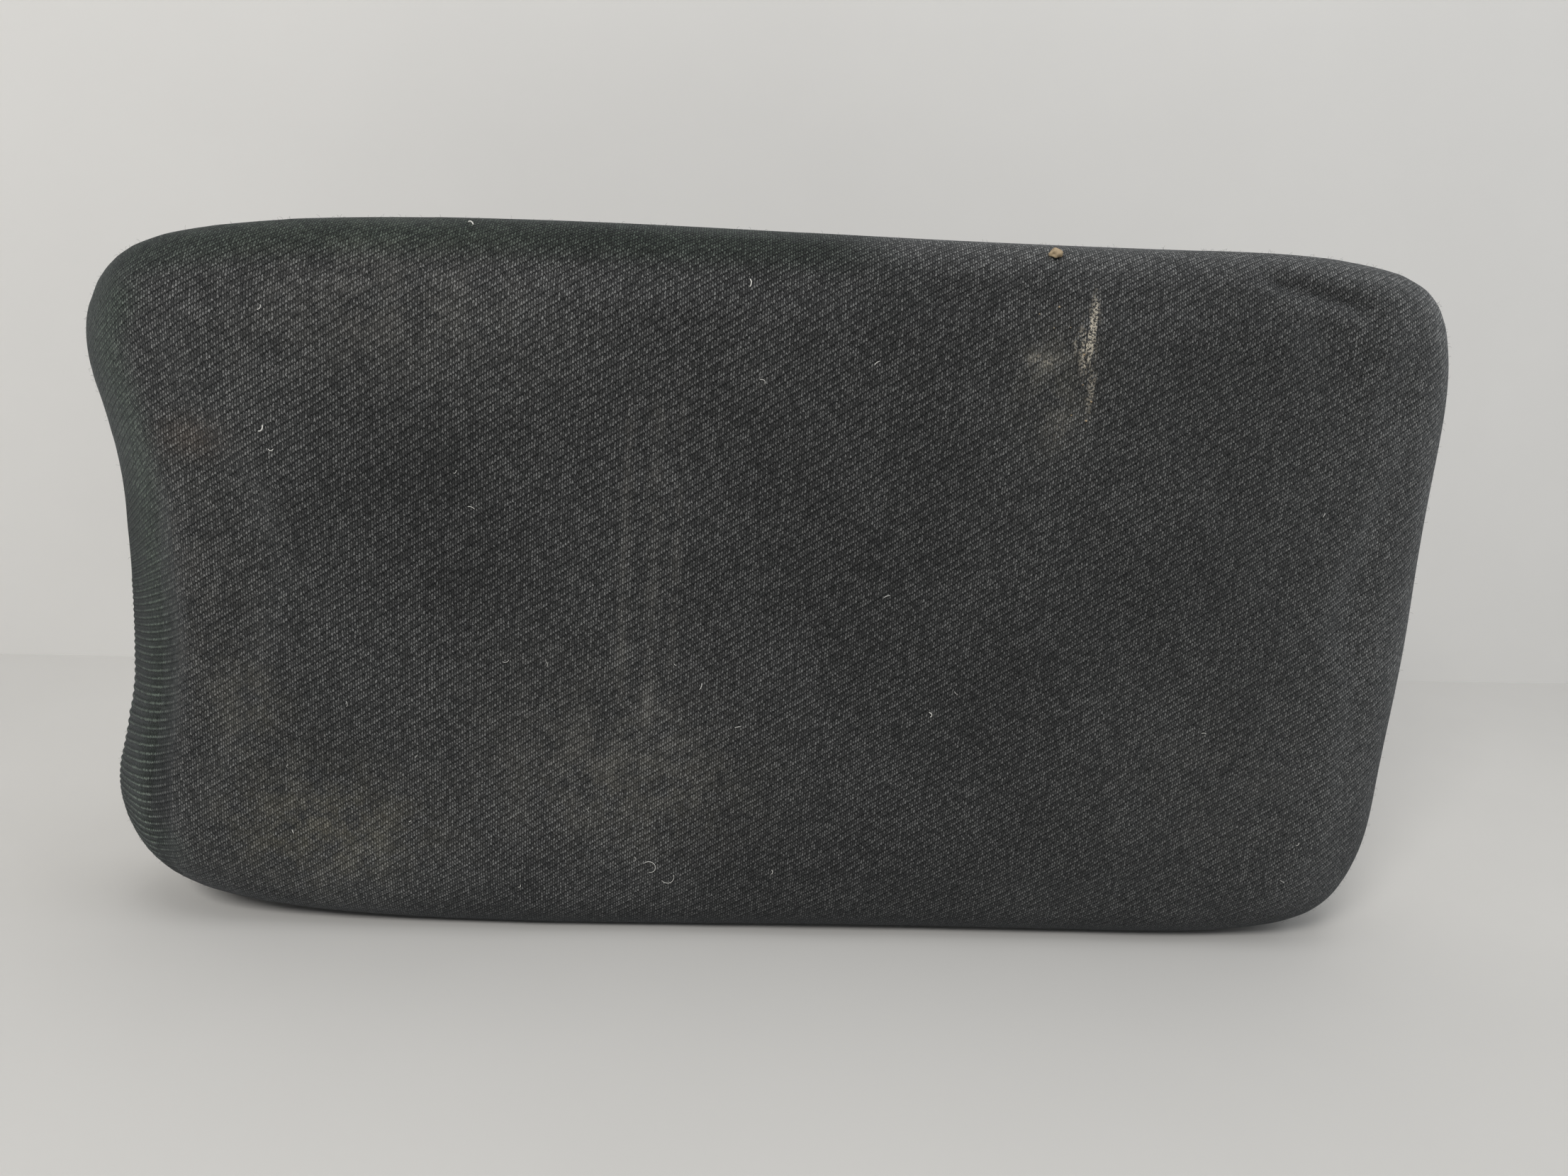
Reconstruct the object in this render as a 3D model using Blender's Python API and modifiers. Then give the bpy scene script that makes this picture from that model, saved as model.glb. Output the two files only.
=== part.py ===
"""Upholstered desk privacy panel with two screw clamps on its rear face.

Metres, +Z up. X runs along the panel, the upholstered face looks towards -Y and the clamp
jaws reach towards +Y. The origin is the middle of the footprint, level with the underside of
the two bumpers on the lower edge.
"""
import math

import bmesh
import bpy
import numpy as np
from mathutils import Matrix, Vector

# ------------------------------------------------------------------ driving dimensions
# The pad's widest outline, clockwise from the middle of its concave end: x and height.
OUTLINE_KNOTS = (
    (-0.2330, 0.1265),
    (-0.2380, 0.1820),
    (-0.2430, 0.2120),
    (-0.2340, 0.2325),
    (-0.1970, 0.2485),
    (-0.1360, 0.2555),
    (0.0095, 0.2602),
    (0.1400, 0.2640),
    (0.1970, 0.2636),
    (0.2285, 0.2530),
    (0.2392, 0.2270),
    (0.2412, 0.1800),
    (0.2428, 0.1200),
    (0.2422, 0.0700),
    (0.2395, 0.0370),
    (0.2275, 0.0145),
    (0.2000, 0.0030),
    (0.1550, 0.0000),
    (0.0135, 0.0000),
    (-0.1320, 0.0000),
    (-0.1935, 0.0058),
    (-0.2280, 0.0205),
    (-0.2412, 0.0420),
    (-0.2372, 0.0720),
)
STATIONS = 64  # places round the outline at which the pad's sections are set
TURN_WEIGHT = 0.12  # metres of edge that one radian of turn counts as, when stations are spread

PAD_DEPTH = 0.0578  # fabric face to the back of its hem
ROUND_LONG = 0.020  # rounding from the face into the long sides
ROUND_CONVEX = 0.024  # the same at the convex end
ROUND_CONCAVE = 0.025  # the sloping side at the concave end
SLOPE_CONCAVE = 0.6  # 0 rounds the concave end's side, 1 makes it a straight slope
ROUND_BACK = 0.006
FACE_STEPS = 5
BACK_STEPS = 3

GAP = 0.0003  # between pieces that touch
CUT_MARGIN = 0.001  # how far a cutter reaches past the surface it opens
FINE_EDGE = 0.0005  # small edge breaks
FABRIC = 0.0012
HEM_WIDTH = 0.021
BOARD_THICKNESS = 0.012
STAPLES = 12
STAPLE_INSET = 0.0175
STAPLE_CROWN = 0.010
STAPLE_LEG = 0.006
STAPLE_WIRE = 0.0007
STAPLE_WIDTH = 0.0012

BUMPER_X = 0.110  # two bumpers under the lower edge, either side of the middle
BUMPER_WIDTH = 0.036
BUMPER_THICKNESS = 0.001
BUMPER_FRONT = 0.0215
BUMPER_BACK = 0.0505

COVER_INSET = 0.012
COVER_WALL = 0.0025
COVER_DEPTH = 0.0055
COVER_ROUND = 0.0025
COVER_BOSS_RADIUS = 0.0055
COVER_SCREWS = (
    (-0.195, 0.050),
    (0.0, 0.038),
    (0.200, 0.050),
    (-0.195, 0.205),
    (0.0, 0.224),
    (0.200, 0.216),
)
COVER_SCREW_RADIUS = 0.0016
COVER_SCREW_HEAD_RADIUS = 0.0036
COVER_SCREW_HEAD_HEIGHT = 0.0022
COVER_SCREW_LENGTH = 0.014
COVER_SCREW_POINT = 0.002
COVER_SCREW_SIDES = 12
WINDOW_MARGIN = 0.0025

CLAMP_X = 0.130  # either side of the middle
BRACKET_WIDTH = 0.050
BRACKET_SHEET = 0.004
BRACKET_FOOT_Z = 0.060
BRACKET_TOP_Z = 0.182
JAW_REACH = 0.046
JAW_PAD_MARGIN = 0.003
JAW_OPENING = 0.040  # between the rubber pads with the screw fully down
RIB_THICKNESS = 0.003
RIB_HEIGHT = 0.015
RIB_REACH = 0.030
RIB_ROOT = 0.0005  # how far a rib runs into the sheet
BOLT_HEIGHTS = (0.145, 0.170)
BOLT_RADIUS = 0.003
BOLT_CLEARANCE = 0.0004
BOLT_HEAD_RADIUS = 0.0052
BOLT_HEAD_HEIGHT = 0.0032
BOLT_LENGTH = 0.016
SOCKET_RADIUS = 0.0023
SOCKET_DEPTH = 0.0018
WASHER_RADIUS = 0.0066
WASHER_THICKNESS = 0.0012
TEE_NUT_BARREL_RADIUS = 0.0042
TEE_NUT_BARREL_LENGTH = 0.009
TEE_NUT_FLANGE_RADIUS = 0.009
TEE_NUT_FLANGE = 0.0015
RUBBER = 0.0025

SPINDLE_RADIUS = 0.004
SPINDLE_BACK = 0.025  # from the bracket's sheet to the screw's axis
SPINDLE_TIP_RADIUS = 0.003
SPINDLE_TIP = 0.0022
BUSH_BARREL_RADIUS = 0.006
BUSH_COLLAR_RADIUS = 0.009
BUSH_COLLAR = 0.0065
BUSH_PROUD = 0.0005  # of the bracket, under the foot
BUSH_SIDES = 20
FOOT_RADIUS = 0.015
FOOT_THICKNESS = 0.004
FOOT_CLEARANCE = 0.0015  # above the lower jaw
FOOT_PAD_INSET = 0.001
KNOB_RADIUS = 0.0155
KNOB_LOBE = 0.0013
KNOB_LOBES = 7
KNOB_HEIGHT = 0.016
KNOB_BASE_Z = 0.006
KNOB_BORE = 0.012
KNOB_EDGE = 0.0015
LOBE_POINTS = 6  # of the outline, for each lobe
LOCK_NUT_RADIUS = 0.0075
LOCK_NUT_HEIGHT = 0.0045
SPINDLE_SIDES = 16
ROUND_SIDES = 24  # of the clamp's larger turned pieces
FASTENER_SIDES = 14  # of bolts, washers, nuts, screws and their holes

# ------------------------------------------------------------------ worked-out places
# Depths are measured back from the fabric face, heights up from the lower edge.
BASE_HEIGHT = BUMPER_THICKNESS + GAP  # of the lower edge above the bumpers' underside
BOARD_BACK = PAD_DEPTH - FABRIC - GAP
BOARD_FRONT = BOARD_BACK - BOARD_THICKNESS
SHEET_FRONT = BOARD_BACK + GAP
SHEET_BACK = SHEET_FRONT + BRACKET_SHEET
TOTAL_DEPTH = SHEET_BACK + JAW_REACH
COVER_FRONT = PAD_DEPTH + GAP
COVER_BACK = COVER_FRONT + COVER_DEPTH
SPINDLE_DEPTH = SHEET_BACK + SPINDLE_BACK
FOOT_BASE = BRACKET_FOOT_Z + BRACKET_SHEET + FOOT_CLEARANCE
FOOT_TOP = FOOT_BASE + FOOT_THICKNESS
FOOT_PAD_TOP = FOOT_TOP + GAP + RUBBER
JAW_PAD_BASE = FOOT_PAD_TOP + JAW_OPENING
UPPER_JAW = JAW_PAD_BASE + RUBBER + GAP
BUSH_BASE = BRACKET_FOOT_Z - GAP - BUSH_COLLAR
KNOB_TOP = KNOB_BASE_Z + KNOB_HEIGHT


def world_y(depth):
    """World Y of a depth measured back from the fabric face."""
    return depth - TOTAL_DEPTH / 2


# ------------------------------------------------------------------ scene and materials
def clear_scene():
    for found in list(bpy.data.objects):
        bpy.data.objects.remove(found, do_unlink=True)


def new_collection(name):
    made = bpy.data.collections.new(name)
    bpy.context.scene.collection.children.link(made)
    return made


def new_material(name, colour, roughness, metallic=0.0):
    made = bpy.data.materials.new(name)
    made.use_nodes = True
    shader = made.node_tree.nodes["Principled BSDF"]
    shader.inputs["Base Color"].default_value = (*colour, 1.0)
    shader.inputs["Roughness"].default_value = roughness
    shader.inputs["Metallic"].default_value = metallic
    made.diffuse_color = (*colour, 1.0)
    return made


clear_scene()
PARTS = new_collection("desk_privacy_panel")
CUTTERS = new_collection("cutters")

TWILL = new_material("twill_fabric", (0.045, 0.047, 0.046), 0.95)
FOAM = new_material("foam", (0.62, 0.58, 0.42), 0.95)
PLYWOOD = new_material("plywood", (0.50, 0.35, 0.20), 0.7)
BLACK_PLASTIC = new_material("black_plastic", (0.03, 0.03, 0.032), 0.55)
COATED_ALUMINIUM = new_material("coated_aluminium", (0.10, 0.10, 0.105), 0.45, 0.6)
STEEL = new_material("zinc_steel", (0.62, 0.62, 0.60), 0.35, 1.0)
BRASS = new_material("brass", (0.72, 0.52, 0.22), 0.35, 1.0)
BLACK_RUBBER = new_material("black_rubber", (0.02, 0.02, 0.02), 0.85)


# ------------------------------------------------------------------ modelling helpers
def add_object(name, mesh, material, collection=None):
    made = bpy.data.objects.new(name, mesh)
    (collection or PARTS).objects.link(made)
    if material and not mesh.materials:
        mesh.materials.append(material)
    return made


def mesh_from(bm, name):
    bmesh.ops.recalc_face_normals(bm, faces=bm.faces)
    mesh = bpy.data.meshes.new(name)
    bm.to_mesh(mesh)
    bm.free()
    return mesh


def smooth_rounds(mesh, angle_deg=32):
    mesh.shade_smooth()
    mesh.set_sharp_from_angle(angle=math.radians(angle_deg))


def loft(name, rings, material):
    """A closed body through rings of equal length, with a flat cap on the first and last."""
    bm = bmesh.new()
    rows = [[bm.verts.new(point) for point in ring] for ring in rings]
    count = len(rows[0])
    for row, following in zip(rows, rows[1:]):
        for i in range(count):
            j = (i + 1) % count
            bm.faces.new((row[i], row[j], following[j], following[i]))
    bm.faces.new(rows[0])
    bm.faces.new(rows[-1])
    mesh = mesh_from(bm, name)
    smooth_rounds(mesh)
    return add_object(name, mesh, material)


def box(name, low, high, material, round_edges=0.0, collection=None):
    """A block between two corners, with its origin at its middle."""
    low, high = Vector(low), Vector(high)
    bm = bmesh.new()
    bmesh.ops.create_cube(bm, size=1.0)
    bmesh.ops.scale(bm, vec=high - low, verts=bm.verts)
    made = add_object(name, mesh_from(bm, name), material, collection)
    made.location = (low + high) / 2
    if round_edges:
        bevel(made, round_edges)
    return made


def bevel(target, width, segments=2, angle_deg=40):
    rounding = target.modifiers.new("edges", "BEVEL")
    rounding.width = width
    rounding.segments = segments
    rounding.limit_method = "ANGLE"
    rounding.angle_limit = math.radians(angle_deg)


def turned(name, profile, material, sides=ROUND_SIDES, closed=False, collection=None):
    """A profile of (radius, height) points turned about Z. It runs down its outer side."""
    bm = bmesh.new()
    points = [bm.verts.new((radius, 0.0, height)) for radius, height in profile]
    for first, second in zip(points, points[1:]):
        bm.edges.new((first, second))
    if closed:
        bm.edges.new((points[-1], points[0]))
    mesh = bpy.data.meshes.new(name)
    bm.to_mesh(mesh)
    bm.free()
    made = add_object(name, mesh, material, collection)
    screw = made.modifiers.new("turn", "SCREW")
    screw.axis = "Z"
    screw.angle = math.tau
    screw.steps = sides
    screw.render_steps = sides
    screw.use_merge_vertices = True
    screw.merge_threshold = 0.0001
    screw.use_smooth_shade = False
    return made


def plate(name, outline, thickness, material, collection=None):
    """A flat outline given thickness about its own plane, as a mesh with welded caps."""
    curve = bpy.data.curves.new(name + "_outline", "CURVE")
    curve.dimensions = "2D"
    curve.fill_mode = "BOTH"
    curve.extrude = thickness / 2
    spline = curve.splines.new("POLY")
    spline.points.add(len(outline) - 1)
    for point, (x, y) in zip(spline.points, outline):
        point.co = (x, y, 0.0, 1.0)
    spline.use_cyclic_u = True
    source = bpy.data.objects.new(name + "_source", curve)
    CUTTERS.objects.link(source)
    evaluated = source.evaluated_get(bpy.context.evaluated_depsgraph_get())
    raw = bpy.data.meshes.new_from_object(evaluated)
    bpy.data.objects.remove(source, do_unlink=True)
    bm = bmesh.new()
    bm.from_mesh(raw)
    bpy.data.meshes.remove(raw)
    bmesh.ops.remove_doubles(bm, verts=bm.verts, dist=0.00001)
    return add_object(name, mesh_from(bm, name), material, collection)


def rod_cutter(name, centre, radius, length, axis, sides=FASTENER_SIDES):
    """A round cutter centred on a point, lying along a world axis."""
    bm = bmesh.new()
    bmesh.ops.create_cone(
        bm, cap_ends=True, segments=sides, radius1=radius, radius2=radius, depth=length
    )
    made = add_object(name, mesh_from(bm, name), None, CUTTERS)
    made.location = centre
    made.rotation_euler = Vector(axis).to_track_quat("Z", "Y").to_euler()
    return made


def boolean(target, other, operation="DIFFERENCE"):
    hide(other)
    step = target.modifiers.new(other.name, "BOOLEAN")
    step.operation = operation
    step.solver = "EXACT"
    step.object = other


def hide(guide):
    guide.hide_render = True
    guide.display_type = "WIRE"


def copy_of(name, source, location):
    """A second object that shares the first one's mesh and modifiers."""
    made = source.copy()
    made.name = name
    made.location = location
    PARTS.objects.link(made)
    return made


# ------------------------------------------------------------------ the pad's sections
def spline_points(knots, per_span):
    """Points along the closed curve through the knots, smooth in slope and curvature."""
    knots = np.array(knots)
    count = len(knots)
    chords = np.linalg.norm(np.roll(knots, -1, axis=0) - knots, axis=1)
    system = np.zeros((count, count))
    target = np.zeros((count, 2))
    for i in range(count):
        after = (i + 1) % count
        behind, ahead = chords[i - 1], chords[i]
        system[i, i - 1] = ahead
        system[i, i] = 2 * (behind + ahead)
        system[i, after] = behind
        rise_behind = (knots[i] - knots[i - 1]) * ahead / behind
        rise_ahead = (knots[after] - knots[i]) * behind / ahead
        target[i] = 3 * (rise_behind + rise_ahead)
    slopes = np.linalg.solve(system, target)
    t = np.linspace(0.0, 1.0, per_span, endpoint=False)[:, None]
    spans = []
    for i in range(count):
        after = (i + 1) % count
        start = (1 + 2 * t) * (1 - t) ** 2 * knots[i]
        leave = t * (1 - t) ** 2 * chords[i] * slopes[i]
        end = t**2 * (3 - 2 * t) * knots[after]
        arrive = t**2 * (t - 1) * chords[i] * slopes[after]
        spans.append(start + leave + end + arrive)
    return np.vstack(spans)


def outward(points):
    """Unit normals of a closed outline that runs clockwise in X and Z."""
    along = np.roll(points, -1, axis=0) - np.roll(points, 1, axis=0)
    along /= np.linalg.norm(along, axis=1)[:, None]
    return np.stack([-along[:, 1], along[:, 0]], axis=1)


def pad_outline():
    """Stations on the widest outline, closer together where it turns, and their normals."""
    dense = spline_points(OUTLINE_KNOTS, 60)
    dense[:, 0] -= (dense[:, 0].max() + dense[:, 0].min()) / 2
    step = np.linalg.norm(np.roll(dense, -1, axis=0) - dense, axis=1)
    normals = outward(dense)
    bend = np.arccos(np.clip((normals * np.roll(normals, -1, axis=0)).sum(axis=1), -1, 1))
    travelled = np.concatenate([[0.0], np.cumsum(step + TURN_WEIGHT * bend)])
    places = np.linspace(0.0, travelled[-1], STATIONS, endpoint=False)
    closed = np.vstack([dense, dense[:1]])
    points = np.stack([np.interp(places, travelled, closed[:, k]) for k in (0, 1)], axis=1)
    return points, outward(points)


OUTLINE, NORMALS = pad_outline()


def side_profile(normal_x):
    """Inset and depth of the section from the face's edge round to the hem's inner edge."""
    concave = max(-normal_x, 0.0) ** 2
    convex = max(normal_x, 0.0) ** 2
    size = ROUND_LONG + (ROUND_CONCAVE - ROUND_LONG) * concave + (ROUND_CONVEX - ROUND_LONG) * convex
    points = []
    for i in range(FACE_STEPS + 1):
        t = i / FACE_STEPS
        angle = t * math.pi / 2
        slope = SLOPE_CONCAVE * concave
        inset = (1 - slope) * (1 - math.sin(angle)) + slope * (1 - t)
        depth = (1 - slope) * (1 - math.cos(angle)) + slope * t
        points.append((inset * size, depth * size))
    for i in range(BACK_STEPS + 1):
        angle = i / BACK_STEPS * math.pi / 2
        depth = PAD_DEPTH - ROUND_BACK * (1 - math.sin(angle))
        points.append((ROUND_BACK * (1 - math.cos(angle)), depth))
    points.append((HEM_WIDTH, PAD_DEPTH))
    return np.array(points)


def shrunk(profile, distance):
    """The same section, moved inwards everywhere by a distance."""
    along = np.gradient(profile, axis=0)
    along[0] = (-1.0, 0.0)
    along[-1] = (1.0, 0.0)
    along /= np.linalg.norm(along, axis=1)[:, None]
    inward = np.stack([along[:, 1], -along[:, 0]], axis=1)
    return profile + inward * distance


def pad_rings(distance):
    """The pad's rings from face to hem, each moved inwards by a distance."""
    sections = np.array([shrunk(side_profile(n[0]), distance) for n in NORMALS])
    rings = []
    for k in range(sections.shape[1]):
        flat = OUTLINE - NORMALS * sections[:, k, :1]
        heights = np.maximum(flat[:, 1], BASE_HEIGHT + distance)
        rings.append([(x, world_y(d), z) for x, d, z in zip(flat[:, 0], sections[:, k, 1], heights)])
    return rings


def ring_at(distance, depth):
    """One ring of the straight side wall, at a depth and moved inwards by a distance."""
    flat = OUTLINE - NORMALS * distance
    return [(x, world_y(depth), max(z, BASE_HEIGHT + distance)) for x, z in flat]


# ------------------------------------------------------------------ upholstery
def make_fabric_cover():
    outer = pad_rings(0.0)
    inner = pad_rings(FABRIC)
    return loft("fabric_cover", outer + inner[::-1], TWILL)


def make_foam_pad():
    clear = FABRIC + GAP
    face = pad_rings(clear)[: FACE_STEPS + 1]
    loft("foam_pad", face + [ring_at(clear, BOARD_FRONT - GAP)], FOAM)


def make_core_board():
    clear = FABRIC + GAP
    back = pad_rings(clear)[FACE_STEPS + 1 : -1]
    return loft("core_board", [ring_at(clear, BOARD_FRONT)] + back, PLYWOOD)


def staple_outline():
    half, wire, leg = STAPLE_CROWN / 2, STAPLE_WIRE, STAPLE_LEG
    return (
        (-half, 0.0),
        (half, 0.0),
        (half, -leg),
        (half - wire, -leg),
        (half - wire, -wire),
        (wire - half, -wire),
        (wire - half, -leg),
        (-half, -leg),
    )


def staple_places():
    """Where each staple sits on the hem, and its matrix: crown along the edge, legs forwards."""
    for i in range(STAPLES):
        k = round((i + 0.5) * STATIONS / STAPLES) % STATIONS
        point = OUTLINE[k] - NORMALS[k] * STAPLE_INSET
        along = Vector((NORMALS[k][1], 0.0, -NORMALS[k][0]))
        back = Vector((0.0, 1.0, 0.0))
        turn = Matrix((along, back, along.cross(back))).transposed().to_4x4()
        crown = PAD_DEPTH + GAP + STAPLE_WIRE
        yield Matrix.Translation((point[0], world_y(crown), point[1])) @ turn


def make_staples(board, fabric):
    first = plate("staple_1", staple_outline(), STAPLE_WIDTH, STEEL)
    holes = bmesh.new()
    for i, place in enumerate(staple_places()):
        staple = first if i == 0 else copy_of(f"staple_{i + 1}", first, (0, 0, 0))
        staple.matrix_world = place
        for side in (-1, 1):
            leg_x = side * (STAPLE_CROWN - STAPLE_WIRE) / 2
            size = Matrix.Diagonal(
                (STAPLE_WIRE + 2 * GAP, STAPLE_LEG, STAPLE_WIDTH + 2 * GAP, 1.0)
            )
            middle = Matrix.Translation((leg_x, -STAPLE_LEG / 2 - GAP, 0.0))
            bmesh.ops.create_cube(holes, size=1.0, matrix=place @ middle @ size)
    cutter = add_object("staple_leg_holes", mesh_from(holes, "staple_leg_holes"), None, CUTTERS)
    boolean(board, cutter)
    boolean(fabric, cutter)


# ------------------------------------------------------------------ rear cover and its screws
def make_rear_cover():
    pocket = COVER_INSET + COVER_WALL
    rings = [
        ring_at(pocket, COVER_BACK - COVER_WALL),
        ring_at(pocket, COVER_FRONT),
        ring_at(COVER_INSET, COVER_FRONT),
    ]
    for i in range(BACK_STEPS + 1):
        angle = i / BACK_STEPS * math.pi / 2
        inset = COVER_INSET + COVER_ROUND * (1 - math.cos(angle))
        rings.append(ring_at(inset, COVER_BACK - COVER_ROUND * (1 - math.sin(angle))))
    return loft("rear_cover", rings, BLACK_PLASTIC)


def cut_cover_windows(cover):
    for side, x in (("left", -CLAMP_X), ("right", CLAMP_X)):
        reach = BRACKET_WIDTH / 2 + WINDOW_MARGIN
        window = box(
            f"{side}_window",
            (x - reach, world_y(COVER_FRONT - CUT_MARGIN), BRACKET_FOOT_Z - WINDOW_MARGIN),
            (x + reach, world_y(COVER_BACK + CUT_MARGIN), BRACKET_TOP_Z + WINDOW_MARGIN),
            None,
            collection=CUTTERS,
        )
        boolean(cover, window)


def add_cover_bosses(cover, board):
    """Spacers under the cover, with a clearance hole through each and a pilot in the board."""
    boss_depth = COVER_BACK - COVER_WALL / 2 - SHEET_FRONT
    for i, (x, z) in enumerate(COVER_SCREWS, 1):
        middle = (x, world_y(SHEET_FRONT + boss_depth / 2), z)
        boss = rod_cutter(f"boss_{i}", middle, COVER_BOSS_RADIUS, boss_depth, (0, 1, 0))
        boolean(cover, boss, "UNION")
    for i, (x, z) in enumerate(COVER_SCREWS, 1):
        hole_depth = COVER_SCREW_LENGTH + 2 * CUT_MARGIN
        middle = (x, world_y(COVER_BACK + CUT_MARGIN - hole_depth / 2), z)
        hole = rod_cutter(
            f"cover_hole_{i}", middle, COVER_SCREW_RADIUS + GAP, hole_depth, (0, 1, 0)
        )
        boolean(cover, hole)
        boolean(board, hole)


def make_cover_screws():
    head, height = COVER_SCREW_HEAD_RADIUS, COVER_SCREW_HEAD_HEIGHT
    profile = (
        (0.0, height),
        (head * 0.7, height),
        (head, height * 0.5),
        (head, 0.0),
        (COVER_SCREW_RADIUS, 0.0),
        (COVER_SCREW_RADIUS, COVER_SCREW_POINT - COVER_SCREW_LENGTH),
        (0.0, -COVER_SCREW_LENGTH),
    )
    first = None
    for i, (x, z) in enumerate(COVER_SCREWS, 1):
        place = (x, world_y(COVER_BACK + GAP), z)
        name = f"rear_cover_screw_{i}"
        if first:
            screw = copy_of(name, first, place)
        else:
            screw = turned(name, profile, STEEL, COVER_SCREW_SIDES)
        screw.location = place
        face_back(screw)
        first = first or screw


def face_back(turned_piece):
    """Points a piece's local +Z at world +Y."""
    turned_piece.rotation_euler = (-math.pi / 2, 0.0, 0.0)


# ------------------------------------------------------------------ clamps
def make_bracket(side, x):
    sheet = BRACKET_SHEET
    profile = (
        (SHEET_FRONT, BRACKET_FOOT_Z),
        (TOTAL_DEPTH, BRACKET_FOOT_Z),
        (TOTAL_DEPTH, BRACKET_FOOT_Z + sheet),
        (SHEET_BACK, BRACKET_FOOT_Z + sheet),
        (SHEET_BACK, UPPER_JAW),
        (TOTAL_DEPTH, UPPER_JAW),
        (TOTAL_DEPTH, UPPER_JAW + sheet),
        (SHEET_BACK, UPPER_JAW + sheet),
        (SHEET_BACK, BRACKET_TOP_Z),
        (SHEET_FRONT, BRACKET_TOP_Z),
    )
    bracket = plate(f"{side}_clamp_bracket", profile, BRACKET_WIDTH, COATED_ALUMINIUM)
    stand_across(bracket, x)
    rib_profile = (
        (SHEET_BACK - RIB_ROOT, UPPER_JAW + sheet - RIB_ROOT),
        (SHEET_BACK + RIB_REACH, UPPER_JAW + sheet - RIB_ROOT),
        (SHEET_BACK - RIB_ROOT, UPPER_JAW + sheet + RIB_HEIGHT),
    )
    for edge, shift in (("inner", -1), ("outer", 1)):
        rib = plate(f"{side}_{edge}_rib", rib_profile, RIB_THICKNESS, None, CUTTERS)
        stand_across(rib, x + shift * (BRACKET_WIDTH / 2 - RIB_THICKNESS))
        boolean(bracket, rib, "UNION")
    for i, z in enumerate(BOLT_HEIGHTS, 1):
        middle = (x, world_y((SHEET_FRONT + SHEET_BACK) / 2), z)
        radius = BOLT_RADIUS + BOLT_CLEARANCE
        hole = rod_cutter(f"{side}_bolt_hole_{i}", middle, radius, 2 * sheet, (0, 1, 0))
        boolean(bracket, hole)
    middle = (x, world_y(SPINDLE_DEPTH), BRACKET_FOOT_Z + sheet / 2)
    hole = rod_cutter(f"{side}_bush_hole", middle, BUSH_BARREL_RADIUS + GAP, 2 * sheet, (0, 0, 1))
    boolean(bracket, hole)
    bevel(bracket, FINE_EDGE, segments=1)


def stand_across(plate_piece, x):
    """Turns a plate drawn in depth and height so that it stands across the panel at x."""
    plate_piece.rotation_euler = (math.pi / 2, 0.0, math.pi / 2)
    plate_piece.location = (x, world_y(0.0), 0.0)


def make_jaw_pad(side, x):
    reach = BRACKET_WIDTH / 2 - JAW_PAD_MARGIN
    box(
        f"{side}_jaw_pad",
        (x - reach, world_y(SHEET_BACK + JAW_PAD_MARGIN), JAW_PAD_BASE),
        (x + reach, world_y(TOTAL_DEPTH - JAW_PAD_MARGIN), JAW_PAD_BASE + RUBBER),
        BLACK_RUBBER,
        FINE_EDGE,
    )


def make_bumper(side, x):
    box(
        f"{side}_edge_bumper",
        (x - BUMPER_WIDTH / 2, world_y(BUMPER_FRONT), 0.0),
        (x + BUMPER_WIDTH / 2, world_y(BUMPER_BACK), BUMPER_THICKNESS),
        BLACK_RUBBER,
    )


def make_bush(side, x):
    bore = SPINDLE_RADIUS + GAP
    top = BRACKET_FOOT_Z + BRACKET_SHEET + BUSH_PROUD
    profile = (
        (BUSH_BARREL_RADIUS, top),
        (BUSH_BARREL_RADIUS, BRACKET_FOOT_Z - GAP),
        (BUSH_COLLAR_RADIUS, BRACKET_FOOT_Z - GAP),
        (BUSH_COLLAR_RADIUS, BUSH_BASE),
        (bore, BUSH_BASE),
        (bore, top),
    )
    bush = turned(f"{side}_threaded_bush", profile, BRASS, BUSH_SIDES, True)
    bush.location = (x, world_y(SPINDLE_DEPTH), 0.0)


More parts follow.
